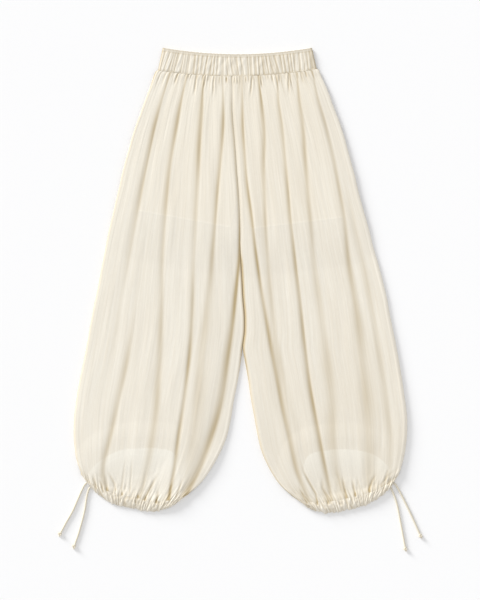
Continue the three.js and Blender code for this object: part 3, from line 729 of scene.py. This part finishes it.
# Small dents beside the hem seam, darkened with painted shade: X, Y and depth
pinholes = {
    "left": [(-249, -448, 0.75), (-215, -454, 1), (-199, -458, 0.6), (-176, -462, 0.5), (-279, -440, 0.3),
             (-263, -440, 0.35)],
    "right": [(241, -449, 0.9), (270, -440, 0.8), (296, -431, 0.3), (222, -456, 0.3), (183, -465, 0.4),
              (160, -466, 0.3)],
}
# How the creases fade and stand, and the painted shade in their hollows at the waist and the hem and in the
# dents
creaseForm = {"fadeFrom": 0.5, "lip": 0.6, "lipOffset": 1.9, "sink": 0.9, "waistDark": 0.58, "hemDark": 0.75,
              "pinWidth": 2.7, "pinSink": 1.4, "pinDark": 0.75}

# Lining: outer and inner edge, from the waist seam to its hem
linings = {
    "left": [(-158, 438.5, -18.6, 427.2), (-172, 375, -18, 370), (-186, 300, -13.5, 296),
             (-200, 225, -8.6, 224), (-206, 188, -6, 180), (-213, 147, -22, 113)],
    "right": [(146, 441.5, -17.4, 427.2), (160, 375, -16.5, 370), (176, 300, -11.5, 296),
              (192, 225, -6.6, 224), (200, 188, -3.6, 180), (212, 133, 22, 110)],
}

# Rear rim of each leg opening, from its outer end to its inner end
rims = {
    "left": [(-318, -404), (-303, -387), (-278, -369), (-249, -356.5), (-211, -353), (-172, -353.5),
             (-148, -358), (-136, -371), (-131, -395), (-127, -420), (-125, -438)],
    "right": [(317, -407), (309, -391), (287, -371), (261, -360), (219, -355), (184, -357), (152, -363),
              (138, -375), (132, -398), (127, -422), (125, -442)],
}
casing = {
    "middle": 7.8, "relief": 1.7, "lumps": 0.95, "rearDepth": 24, "rearEndDepth": 16, "rearHeight": 1.7,
    "rearRelief": 0.5, "seamRow": 4, "rearSeamRows": (2, -3), "scallop": 3, "ragged": 2.2,
}

# Gathers at both ends of a leg: how many, how uneven, how far they run, how high they stand, where they start
# to fade, how sharp their valleys are and how much painted shade they get, and the same for a finer set
# between them
gathers = {
    "waist": {"count": 16, "uneven": 0.7, "sway": 0.006, "reach": 50, "relief": 0.9, "fadeFrom": 0.12,
              "sharp": 2.6, "dark": (0.3, 0.7), "shade": 0.42, "fineRelief": 0.55, "fineFrom": 2,
              "fineReach": (12, 42), "fineSharp": 2.6, "seeds": (2, 3)},
    "hem": {"count": 24, "uneven": 0.6, "sway": 0.008, "reach": 46, "relief": 0.9, "fadeFrom": 0.08,
            "sharp": 2.2, "dark": (0.25, 0.55), "shade": 0.32, "fineRelief": 0.6, "fineFrom": 1,
            "fineReach": (10, 40), "fineSharp": 2.4, "seeds": (6, 9)},
}
# painted shade in the valleys of the fine gathers
fineShade = 0.24
belowHem = -520  # a Y past the lowest cloth
grids = {  # rows, columns, and how many of them the coarse inner side takes as one
    "front": (361, 241, 5), "back": (161, 101, 5), "lining": (81, 96, 4), "casing": (33, 481, 4),
    "rear": (17, 401, 4),
}


class Leg:  # plan and heights of one leg
    def __init__(self, side):
        self.side = side
        self.own = sideForm[side]
        self.seed = self.own["seed"]
        self.outward = 1 if side == "right" else -1
        self.table = np.array(legSections[side], float).T
        self.last = self.table.shape[1] - 1
        rim = np.array(rims[side], float).T
        places = np.linspace(0, rim.shape[1] - 1, 400)
        self.rimLine = stack(*[rowValue(column, places) for column in rim])
        run = runAlong(self.rimLine)
        self.rimRun = run / run[-1]
        self.outlines()

    def point(self, share, row):  # share 0 is the side edge, 1 the inner edge
        outerX, outerY, innerX, innerY, bow = [rowValue(column, row) for column in self.table]
        innerX = innerX + self.outward * seam["gap"] / 2
        x = blend(outerX, innerX, share)
        flatY = blend(outerY, innerY, share) + bow * (1 - np.abs(2 * share - 1) ** 3)
        follow = unit(1 - row / 2)
        return x, blend(flatY, np.minimum(bandSeamY(x) - seam["gap"], flatY + 9), follow)

    def casingPoint(self, share, down):
        seamX, seamY = self.point(share, np.full(np.shape(share), float(self.last)))
        outerX, outerY, innerX, innerY = hemEnds[self.side]
        lowX = blend(outerX, innerX, share)
        lowY = blend(outerY, innerY, share) + hemBow * (1 - np.abs(2 * share - 1) ** 3)
        return blend(seamX, lowX, down), blend(seamY - seam["casingGap"], lowY, down)

    def rimPoint(self, share, away):  # away 0 is the free rim, 1 the seam between rear casing and panel
        def at(place):
            return [np.interp(place, self.rimRun, column) for column in self.rimLine.T]

        x, y = at(share)
        aheadX, aheadY = at(np.minimum(share + 0.012, 1))
        behindX, behindY = at(np.maximum(share - 0.012, 0))
        wayX, wayY = aheadX - behindX, aheadY - behindY
        length = np.hypot(wayX, wayY)
        inwards = ease(np.minimum(share, 1 - share), 0, 0.2)
        reach = away * blend(casing["rearEndDepth"], casing["rearDepth"], inwards)
        return x + self.outward * wayY / length * reach, y - self.outward * wayX / length * reach

    def outlines(self):
        rows = np.arange(self.last + 1, dtype=float)
        shares = np.linspace(0, 1, 60)
        aboveRim = self.table[1] > -400
        outer, inner = [stack(*self.point(end + 0 * rows, rows))[aboveRim] for end in (0, 1)]
        rim, rearSeam, panelEnd = [stack(*self.rimPoint(shares, away)) for away in (0, 1, 1.02)]
        self.backOutline = np.concatenate([outer, panelEnd, inner[::-1]])
        self.rearOutline = np.concatenate([rim, rearSeam[::-1]])
        self.rimLines = [stack(*self.rimPoint(shares[5:-12], away)) for away in self.own["rimLines"]]
        self.lensOutline, self.paleOutline = [
            np.concatenate([line, [(line[-1][0], belowHem), (line[0][0], belowHem)]])
            for line in (rearSeam, rim)]
        table = np.array(linings[self.side], float)
        self.liningOutline = np.concatenate([table[:, :2], table[::-1, 2:]])

    def rest(self, x, y):  # height of the cloth's under side where nothing lifts it
        height = np.full(np.shape(x), seam["gap"])
        for outline, top, shoulder, slope in (
                (self.backOutline, seam["backWall"], 0, 12),
                (self.rearOutline, casing["rearHeight"] + casing["rearRelief"], 2, 70),
                (self.liningOutline, liningTop, 2, 170)):
            away = distanceOutside(outline, x, y)
            height = np.maximum(height, (top + seam["gap"]) * (1 - ease(away, shoulder, shoulder + slope)))
        return height

    def rowRun(self, count):  # row places at an even spacing down the leg
        rows = np.linspace(0, self.last, 400)
        run = runAlong(stack(*self.point(np.full(400, 0.5), rows)))
        return np.interp(np.linspace(0, run[-1], count), run, rows), run[-1]

    def longFolds(self, x, y, spread):  # how much loft is left in the valleys, height of lips, painted shade, painted highlight
        loft, lips, shade, paintedLight = 1, 0, 0, 0
        down = ease(-y, -150, 300)
        for index, fold in enumerate(legFolds[self.side]):
            sway = 0.4 * np.sin(y / 47 + 2 * index) + 0.2 * np.sin(y / 19 + 5 * index)
            beside = x - levelValue(foldLevels, fold["x"], y) - sway * spread
            depth = np.clip(levelValue(foldLevels, fold["depth"], y), 0, foldForm["deepest"])
            depth = depth * (0.88 + 0.12 * np.sin(y / 23 + 3 * index))
            gentle, steep = [blend(*fold[key], down) * spread for key in ("gentle", "steep")]
            hollow = bell(beside, np.where(beside < 0, gentle, steep))
            loft = loft * (1 - foldForm["sink"] * np.minimum(depth, 1) * hollow)
            lip = bell(beside - foldForm["lipOffset"] * steep, foldForm["lipWidth"] * spread)
            lips = lips + foldForm["lipShare"] * depth * fold["lip"] * lip
            leftDark, rightDark = foldForm["darkSides"]
            dark = bell(beside, np.where(beside < 0, leftDark * gentle, rightDark * steep))
            shade = shade + foldForm["dark"] * depth * dark
            paintedHighlight = bell(beside - foldForm["highlightOffset"] * steep, foldForm["highlightWidth"] * steep)
            paintedLight = paintedLight + foldForm["paintedHighlight"] * depth * paintedHighlight
        return loft, lips, shade, paintedLight

    def front(self, share, row, distance, length):  # places and marks (painted shade, layers under it, painted light) of the front cloth
        x, y = self.point(share, row)
        outerX, outerY = self.point(0 * share, row)
        innerX, innerY = self.point(0 * share + 1, row)
        width = np.hypot(outerX - innerX, outerY - innerY)
        fromOuter, fromInner, toHem = share * width, (1 - share) * width, length - distance
        crotch = ease(-y, -100, -30)
        outerRadius, innerRadius = self.own["rolls"]
        outerRoll = rounded(fromOuter, outerRadius)
        innerRoll = blend(1, rounded(fromInner, innerRadius), crotch)
        left, lips, shade, paintedLight = self.longFolds(x, y, blend(0.35, 1, ease(distance, 0, 110)))
        # painted shade in the valley along the centre seam, in the gap where the legs part, and on the rolled
        # edge that faces the sun
        centre = (1 - crotch) * ease(-y, -440, -330)
        shade = shade + self.own["centreDark"] * centre * bell(fromInner, edgeShade["centre"])
        parting = ease(-y, -90, -30) * (1 - 0.9 * ease(-y, 130, 230))
        dark, wide = edgeShade["parting"]
        shade = shade + dark * parting * bell(fromInner, wide)
        sunny = fromOuter if self.side == "left" else fromInner + 20 * (1 - crotch)
        dark, wide = edgeShade["sunny"]
        shade = shade + dark * bell(sunny, wide)
        ends = ease(distance, 0, 60) * (1 - 0.45 * ease(distance, length - 60, length))
        soft = relief["broad"] * crumple(share * 17, distance / 110, self.seed + 30)
        soft = soft + relief["small"] * crumple(share * 48, distance / 60, self.seed + 31)
        nearHem, nearWaist = 1 - ease(toHem, 4, 52), 1 - ease(distance, 0, 45)
        fine = crumple(share * 50 + toHem / 40, toHem / 17, self.seed + 32)
        puckers = relief["hem"] * fine * nearHem
        puckers = puckers + relief["waist"] * crumple(share * 42, distance / 19, self.seed + 33) * nearWaist
        # painted shade in the hollows of the hem puckers
        shade = shade + relief["hemDark"] * unit(-fine - 0.15) * nearHem
        seamDip = 1 - (1 - crotch) * 0.3 * bell(fromInner, 4)
        slope = blend(0.4, 1, ease(fromInner, 0, 75)) if self.side == "left" else 1
        loft = levelValue(loftLevels, loftHeights, y) * left * seamDip
        loft = loft * blend(1, slope, crotch * (1 - ease(-y, 320, 400)))
        body = outerRoll * innerRoll * (loft + lips * ends + soft * ends + puckers)
        waistRise, waistShade = self.waistGathers(share, distance)
        hemRise, hemShade = self.hemGathers(share, toHem)
        creaseRise, creaseShade = self.shortCreases(x, y)
        rise = waistRise + hemRise + creaseRise
        z = self.rest(x, y) + body + rise * outerRoll * blend(1, innerRoll, 0.8)
        z = blend(z, self.casingHeight(share, 0 * share)[0] - 0.4, 1 - ease(toHem, 0, 17))
        seenShade, seenPaintedLight, layers = self.seenThrough(x, y, fromOuter, fromInner)
        ragged = (0.5 + 1.2 * (1 - ease(toHem, 20, 110))) * (1 - ease(fromOuter, 3, 14))
        x = x + self.outward * ragged * crumple(distance / 13, 0 * distance + 0.5, self.seed + 34)
        shade = unit(shade + waistShade + hemShade + creaseShade + seenShade)
        # painted light: the folds' highlights, what shows through, and an even amount over the whole leg
        return stack(x, y, z), stack(shade, layers, unit(paintedLight + seenPaintedLight + self.own["paintedLegLight"]), 1.0)

    def seenThrough(self, x, y, fromOuter, fromInner):  # darker tone, painted light and layers for what the sheer front shows of the layers under it, and painted shade on the right leg
        inLining = 1 - ease(distanceOutside(self.liningOutline, x, y), 0, 2.5)
        middle = 0.35 + 0.65 * ease(y, -410, -372)
        inRim = middle * (1 - ease(distanceOutside(self.rearOutline, x, y), 0, 2.5))
        inLens = 1 - ease(distanceOutside(self.paleOutline, x, y), 0, 1.5)
        corner = len(linings[self.side])
        hemLine = self.liningOutline[corner - 1:corner + 1]
        hem = bell(nearestOn(hemLine[:1], hemLine[1:], x, y), 1.6)
        rimLines = middle * sum(bell(nearestOn(line[:-1], line[1:], x, y), 1.5) for line in self.rimLines)
        innerStrip = ease(seenForm["innerStrip"] - fromInner, 0, 1.5) * ease(-y, -60, -20)
        strip = ease(seenForm["outerStrip"] - fromOuter, 0, 1.5) + innerStrip
        stripLine = bell(fromOuter - seenForm["outerStrip"], 1.1)
        lens = self.own["lens"] * blend(0.4, 1, ease(y, -425, -365)) * inLens
        shade = seenForm["lining"] * inLining + seenForm["stripLine"] * stripLine + seenForm["rim"] * inRim
        # painted shade: the right leg darker on its lower part and its upper outer corner
        if self.side == "right":
            paintedShadeCorner = ease(x, 110, 150) * ease(y, 300, 400)
            shade = shade + seenForm["low"] * np.maximum(ease(-y, 60, 200), paintedShadeCorner)
        # painted light: along the lining's hem and the rear rim's lines, over the single layer below the rear
        # rim, and over the seam strips
        paintedLight = seenForm["hem"] * hem + seenForm["rimLines"] * rimLines + lens + seenForm["strip"] * strip
        return shade, paintedLight, unit(0.5 * inLining + 0.5 * strip)

    def shortCreases(self, x, y):  # height and painted shade of the short creases and the pinholes
        rise, shade = 0 * x, 0 * x
        dark = np.where(y > 0, creaseForm["waistDark"], creaseForm["hemDark"])
        for depth, wide, line in creases[self.side]:
            away, place = nearLine(line, x, y)
            depth = depth * (1 - ease(place, creaseForm["fadeFrom"], 1)) * ease(place, -0.1, 0.05)
            wide = wide * (0.85 + 0.4 * place)
            hollow, lip = bell(away, wide), bell(away - creaseForm["lipOffset"] * wide, wide)
            rise = rise + depth * (creaseForm["lip"] * lip - creaseForm["sink"] * hollow)
            shade = shade + dark * depth * hollow
        for pinX, pinY, deep in pinholes[self.side]:
            pin = bell(np.hypot(1.2 * (x - pinX), 0.6 * (y - pinY)), creaseForm["pinWidth"])
            rise = rise - creaseForm["pinSink"] * deep * pin
            shade = shade + creaseForm["pinDark"] * deep * pin
        return rise, unit(shade)

    def gathered(self, end, phase, finePhase, distance):  # height and painted shade of the gathers at one end
        form = gathers[end]
        crest, reachChance, darkChance = gatherRelief(phase, self.seed + form["seeds"][0])
        fine, fineChance, _ = gatherRelief(finePhase, self.seed + form["seeds"][1])
        reach = form["reach"] * (0.25 + 1.5 * reachChance**2)
        fade = 1 - ease(distance, form["fadeFrom"] * reach, reach)
        shortest, longer = form["fineReach"]
        fineFade = 1 - ease(distance, form["fineFrom"], shortest + longer * fineChance)
        light, darker = form["dark"]
        valleys = unit(1 - form["sharp"] * crest) * fade * (light + darker * darkChance)
        lift = form["relief"] * (crest * fade + form["fineRelief"] * fine * fineFade)
        return lift, form["shade"] * valleys + fineShade * unit(1 - form["fineSharp"] * fine) * fineFade

    def waistGathers(self, share, distance):
        form = gathers["waist"]
        phase = unevenPhase(share, form["count"], self.seed + 1, form["uneven"])
        phase = phase + form["sway"] * distance * np.sin(12 * share)
        lift, shade = self.gathered("waist", phase, 1.8 * phase + 0.3 * np.sin(9 * share), distance)
        return lift * blend(0.5, 1, ease(distance, 0, 8)), shade

    def hemPhase(self, share, seed=5):
        return unevenPhase(share, gathers["hem"]["count"], self.seed + seed, gathers["hem"]["uneven"])

    def hemGathers(self, share, distance):
        phase = self.hemPhase(share) + gathers["hem"]["sway"] * distance * np.sin(9 * share + 1)
        lift, shade = self.gathered("hem", phase, 1.7 * phase, distance)
        # painted shade: a little more within about 45 mm of the hem seam
        return lift, shade + 0.05 * (1 - ease(distance, 5, 45))

    def casingHeight(self, share, down):
        phase = self.hemPhase(share) + 0.3 * down * np.sin(21 * share)
        crest, puckerChance, _ = gatherRelief(phase, self.seed + 6)
        fine, darkChance, _ = gatherRelief(phase * 1.7 + 0.9 * down * np.sin(13 * share + 2), self.seed + 9)
        puff = np.sqrt(unit(1 - unit((down - 0.3) / 0.7) ** 2)) * (1 - 0.06 * unit(1 - down / 0.3) ** 2)
        pucker = 0.62 + 0.38 * np.sin(7.5 * down + 6.3 * puckerChance + 3 * fine)
        z = 0.8 + casing["middle"] * 0.8 * puff
        z = z + casing["relief"] * (0.8 * crest * pucker + 0.45 * fine) * (0.2 + 0.8 * puff)
        z = z * blend(0.6, 1, np.sqrt(np.minimum(np.minimum(share, 1 - share) * 200 / 8, 1)))
        lumps = 0.7 * crumple(share * 30 + 0.5 * down, down * 3.1, self.seed + 40)
        lumps = lumps + 0.45 * crumple(share * 62, down * 5.3, self.seed + 41)
        # painted shade in the troughs of the casing's gathers, in the hollows of its lumps and in its creases
        troughs = unit(1 - 1.9 * (0.7 * crest * pucker + 0.3 * fine))
        troughs = unit(troughs + 0.45 * unit(-lumps))
        creaseRise, creaseShade = self.shortCreases(*self.casingPoint(share, down))
        shade = unit(0.04 + 0.56 * troughs * (0.4 + 0.6 * darkChance) + creaseShade)
        return z + casing["lumps"] * lumps * puff + creaseRise * puff, shade, crest


legs = {side: Leg(side) for side in ("left", "right")}


def makeFront(leg):
    rows, columns, step = grids["front"]
    rowPlaces, length = leg.rowRun(rows)
    row, share = np.meshgrid(rowPlaces, np.linspace(0, 1, columns), indexing="ij")
    distance = np.broadcast_to(np.linspace(0, length, rows)[:, None], row.shape)
    places, marks = leg.front(share, row, distance, length)
    inner = stack(places[..., 0], places[..., 1], lowestNear(places[..., 2], step) - 0.1)[::step, ::step]
    outer = places + (0, 0, 0.4)
    uv = stack(share * 330, distance)
    piece = shell(f"front_{leg.side}_cloth", outer, inner, step, uv, marks, sheerCloth)
    keep(piece, f"front_{leg.side}_leg")


def makeBack(leg):  # flat panel, each column of which ends at the rear casing
    rows, columns, step = grids["back"]
    shares = np.linspace(0, 1, columns)
    lowest = leg.last - 1.1
    tries = np.linspace(15, lowest, 400)
    endRows = []
    for share in shares:
        x, y = leg.point(np.full(400, share), tries)
        inside = distanceOutside(leg.lensOutline, x, y) <= 0.4
        endRows.append(tries[np.argmax(inside)] if inside.any() else lowest)
    row = np.linspace(0, 1, rows)[:, None] * np.minimum(np.array(endRows), lowest)[None, :]
    share = np.broadcast_to(shares[None, :], row.shape)
    x, y = leg.point(share, row)
    crease = 0.25 * np.sin(share * 40 + row * 0.3) * bell(row - 12, 10)
    outer = stack(x, y, 0.75 + 0.15 * crease)
    inner = stack(x, y, 0.05)[::step, ::step]
    marks = stack(unit(0.1 + 0.1 * crease), 0, 0, 1.0)
    uv = stack(share * 330, row * 33)
    piece = shell(f"back_{leg.side}_cloth", outer, inner, step, uv, marks, backCloth)
    keep(piece, f"back_{leg.side}_leg")


liningForm = {"hemRow": 4.77, "seamGap": 0.6, "seamRow": 76}


def makeLining(leg):  # a flat tube: its upper layer is the first half of each row
    rows, columns, step = grids["lining"]
    half = columns // 2
    table = np.array(linings[leg.side], float).T
    row = np.linspace(0, table.shape[1] - 1, rows)[:, None]
    turn = np.arange(columns)[None, :] / half
    share = np.where(turn < 1, turn, 2 - turn)
    over = turn < 1

    def plan(across, down):
        outerX, outerY, innerX, innerY = [rowValue(column, down) for column in table]
        x = blend(outerX, innerX, across)
        return x, np.minimum(blend(outerY, innerY, across), bandSeamY(x) - liningForm["seamGap"])

    hem = ease(row, 4.75, 4.8)
    z = np.where(over, liningTop - 0.25 + 0.25 * hem, liningLow + 0.2)
    outer = stack(*plan(share, row), z)
    innerZ = np.where(over[:, ::step], liningTop - 0.9, liningLow + 0.7)
    inner = stack(*plan(blend(0.01, 0.99, share[:, ::step]), row[::step]), innerZ)
    marks = stack(0.12 * bell(row - liningForm["hemRow"], 0.02) + 0 * z, 0, 0, 1.0)
    uv = stack(share * 190, row * 60)
    sewAlong(outer[liningForm["seamRow"], 2:half - 1])
    piece = shell(f"lining_{leg.side}_cloth", outer, inner, step, uv, marks, liningCloth, wrap=True)
    keep(piece, f"lining_{leg.side}_leg")


def makeCasing(leg):
    rows, columns, step = grids["casing"]
    down, share = np.meshgrid(np.linspace(0, 1, rows), np.linspace(0, 1, columns), indexing="ij")
    z, shade, crest = leg.casingHeight(share, down)
    x, y = leg.casingPoint(share, down)
    ragged = casing["ragged"] * crumple(share * 27, 0 * down + 0.5, leg.seed + 42)
    y = y - (casing["scallop"] * (crest - 0.5) + ragged) * ease(down, 0.5, 1)
    outer = stack(x, y, z)
    inner = stack(x, y, 0.05)[::step, ::step]
    # the third mark is a painted highlight on the gather crests
    marks = stack(shade, 0, 0.05 * crest, 1.0)
    uv = stack(share * 420, down * 24)
    sewAlong(outer[casing["seamRow"], 10:-10])
    piece = shell(f"hem_casing_front_{leg.side}_cloth", outer, inner, step, uv, marks, bandCloth)
    keep(piece, f"hem_casing_front_{leg.side}")


def makeRearCasing(leg):
    rows, columns, step = grids["rear"]
    away, share = np.meshgrid(np.linspace(1, 0, rows), np.linspace(0, 1, columns), indexing="ij")
    crest, _, _ = gatherRelief(leg.hemPhase(share, 13), leg.seed + 14)
    puff = np.sin(math.pi * np.clip(away, 0.05, 0.95)) ** 0.7
    z = blend(1.2, casing["rearHeight"], puff) + casing["rearRelief"] * crest * (0.4 + 0.6 * puff)
    x, y = leg.rimPoint(share, away)
    outer = stack(x, y, z)
    inner = stack(x, y, 0.05)[::step, ::step]
    # painted shade in the rear casing's gather troughs
    marks = stack(0.1 * unit(1 - 1.7 * crest), 0, 0, 1.0)
    uv = stack(share * 420, away * 24)
    for seamRow in casing["rearSeamRows"]:
        sewAlong(outer[seamRow, 10:-10])
    piece = shell(f"hem_casing_back_{leg.side}_cloth", outer, inner, step, uv, marks, liningCloth)
    keep(piece, f"hem_casing_back_{leg.side}")


for leg in legs.values():
    makeFront(leg)
    makeBack(leg)
    makeLining(leg)
    makeCasing(leg)
    makeRearCasing(leg)
    print(leg.side, "leg ready")


# Stitches along the seams

def stitchNodes():
    tree = bpy.data.node_groups.new("seamStitches", "GeometryNodeTree")
    tree.interface.new_socket("Geometry", in_out="INPUT", socket_type="NodeSocketGeometry")
    for name in ("pitch", "length", "width", "height"):
        tree.interface.new_socket(name, in_out="INPUT", socket_type="NodeSocketFloat")
    tree.interface.new_socket("seed", in_out="INPUT", socket_type="NodeSocketInt")
    tree.interface.new_socket("Geometry", in_out="OUTPUT", socket_type="NodeSocketGeometry")
    nodes = Nodes(tree)
    given = nodes.node("NodeGroupInput")
    line = nodes.node("GeometryNodeMeshToCurve", {}, {"Mesh": given})
    points = nodes.node("GeometryNodeCurveToPoints", {"mode": "LENGTH"},
                        {"Curve": line, "Length": given.other("pitch")})
    turned = nodes.node("FunctionNodeAlignRotationToVector", {"axis": "X"},
                        {"Vector": points.other("Tangent")})
    ball = nodes.node("GeometryNodeMeshUVSphere", {},
                      {"Segments": stitch["segments"], "Rings": stitch["rings"], "Radius": 0.5})
    size = nodes.node("ShaderNodeCombineXYZ", {}, {"X": given.other("length"), "Y": given.other("width"),
                                                   "Z": given.other("height")})
    thread = nodes.node("GeometryNodeTransform", {}, {"Geometry": ball, "Scale": size})
    chance = nodes.node("FunctionNodeRandomValue", {"data_type": "FLOAT_VECTOR"},
                        {"Min": (0.8, 0.85, 0.9), "Max": (1.1, 1.1, 1.1), "Seed": given.other("seed")})
    placed = nodes.node("GeometryNodeInstanceOnPoints", {},
                        {"Points": points, "Instance": thread, "Rotation": turned, "Scale": chance})
    whole = nodes.node("GeometryNodeRealizeInstances", {}, {"Geometry": placed})
    finished = nodes.node("GeometryNodeSetMaterial", {}, {"Geometry": whole, "Material": threadCloth})
    nodes.node("NodeGroupOutput", {}, {"Geometry": finished})
    return tree


def makeStitches():
    points, edges = [], []
    for row in seamRows:
        edges += [(len(points) + k, len(points) + k + 1) for k in range(len(row) - 1)]
        points += (row * mm).tolist()
    mesh = bpy.data.meshes.new("seamRows")
    mesh.from_pydata(points, edges, [])
    rows = addObject("seamRows", mesh)
    modifier = rows.modifiers.new("stitches", "NODES")
    modifier.node_group = stitchNodes()
    for item in modifier.node_group.interface.items_tree:
        if item.name in stitch:
            modifier[item.identifier] = stitch[item.name] if item.name == "seed" else stitch[item.name] * mm
    sewn = bpy.data.meshes.new_from_object(rows.evaluated_get(bpy.context.evaluated_depsgraph_get()))
    rows.modifiers.remove(modifier)
    bpy.data.objects.remove(rows)
    sewn.shade_smooth()
    piece = addObject("seamStitches", sewn)
    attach(piece, "root")
    print("stitches ready:", len(sewn.polygons) // (stitch["segments"] * stitch["rings"]))


makeStitches()


# Floor, light and air

studio = {
    "floor": (0.93, 0.93, 0.935, 1), "halfSize": 6, "drop": 0.0002, "air": 0.77, "sun": 3.3, "softness": 18,
    "from": (-0.71, 0.70), "rise": 15.5,
}


def makeStudio():
    mesh = bpy.data.meshes.new("paleFloor")
    half = studio["halfSize"]
    corners = [(-half, -half, 0), (half, -half, 0), (half, half, 0), (-half, half, 0)]
    mesh.from_pydata(corners, [], [(0, 1, 2, 3)])
    look = Look("paleFloor", Roughness=0.9)
    look.shader.inputs["Base Color"].default_value = studio["floor"]
    mesh.materials.append(look.material)
    floor = addObject("paleFloor", mesh)
    floor.location.z = -studio["drop"]
    world = bpy.data.worlds.new("studioAir")
    world.use_nodes = True
    world.node_tree.nodes["Background"].inputs["Color"].default_value = (1, 1, 1, 1)
    world.node_tree.nodes["Background"].inputs["Strength"].default_value = studio["air"]
    bpy.context.scene.world = world
    lamp = bpy.data.lights.new("windowLight", "SUN")
    lamp.energy = studio["sun"]
    lamp.angle = math.radians(studio["softness"])
    light = addObject("windowLight", lamp)
    x, y = studio["from"]
    light.rotation_euler = (math.radians(90 - studio["rise"]), 0, math.atan2(x, -y))
    bpy.context.scene.view_settings.view_transform = "Standard"


makeStudio()
print("studio ready")
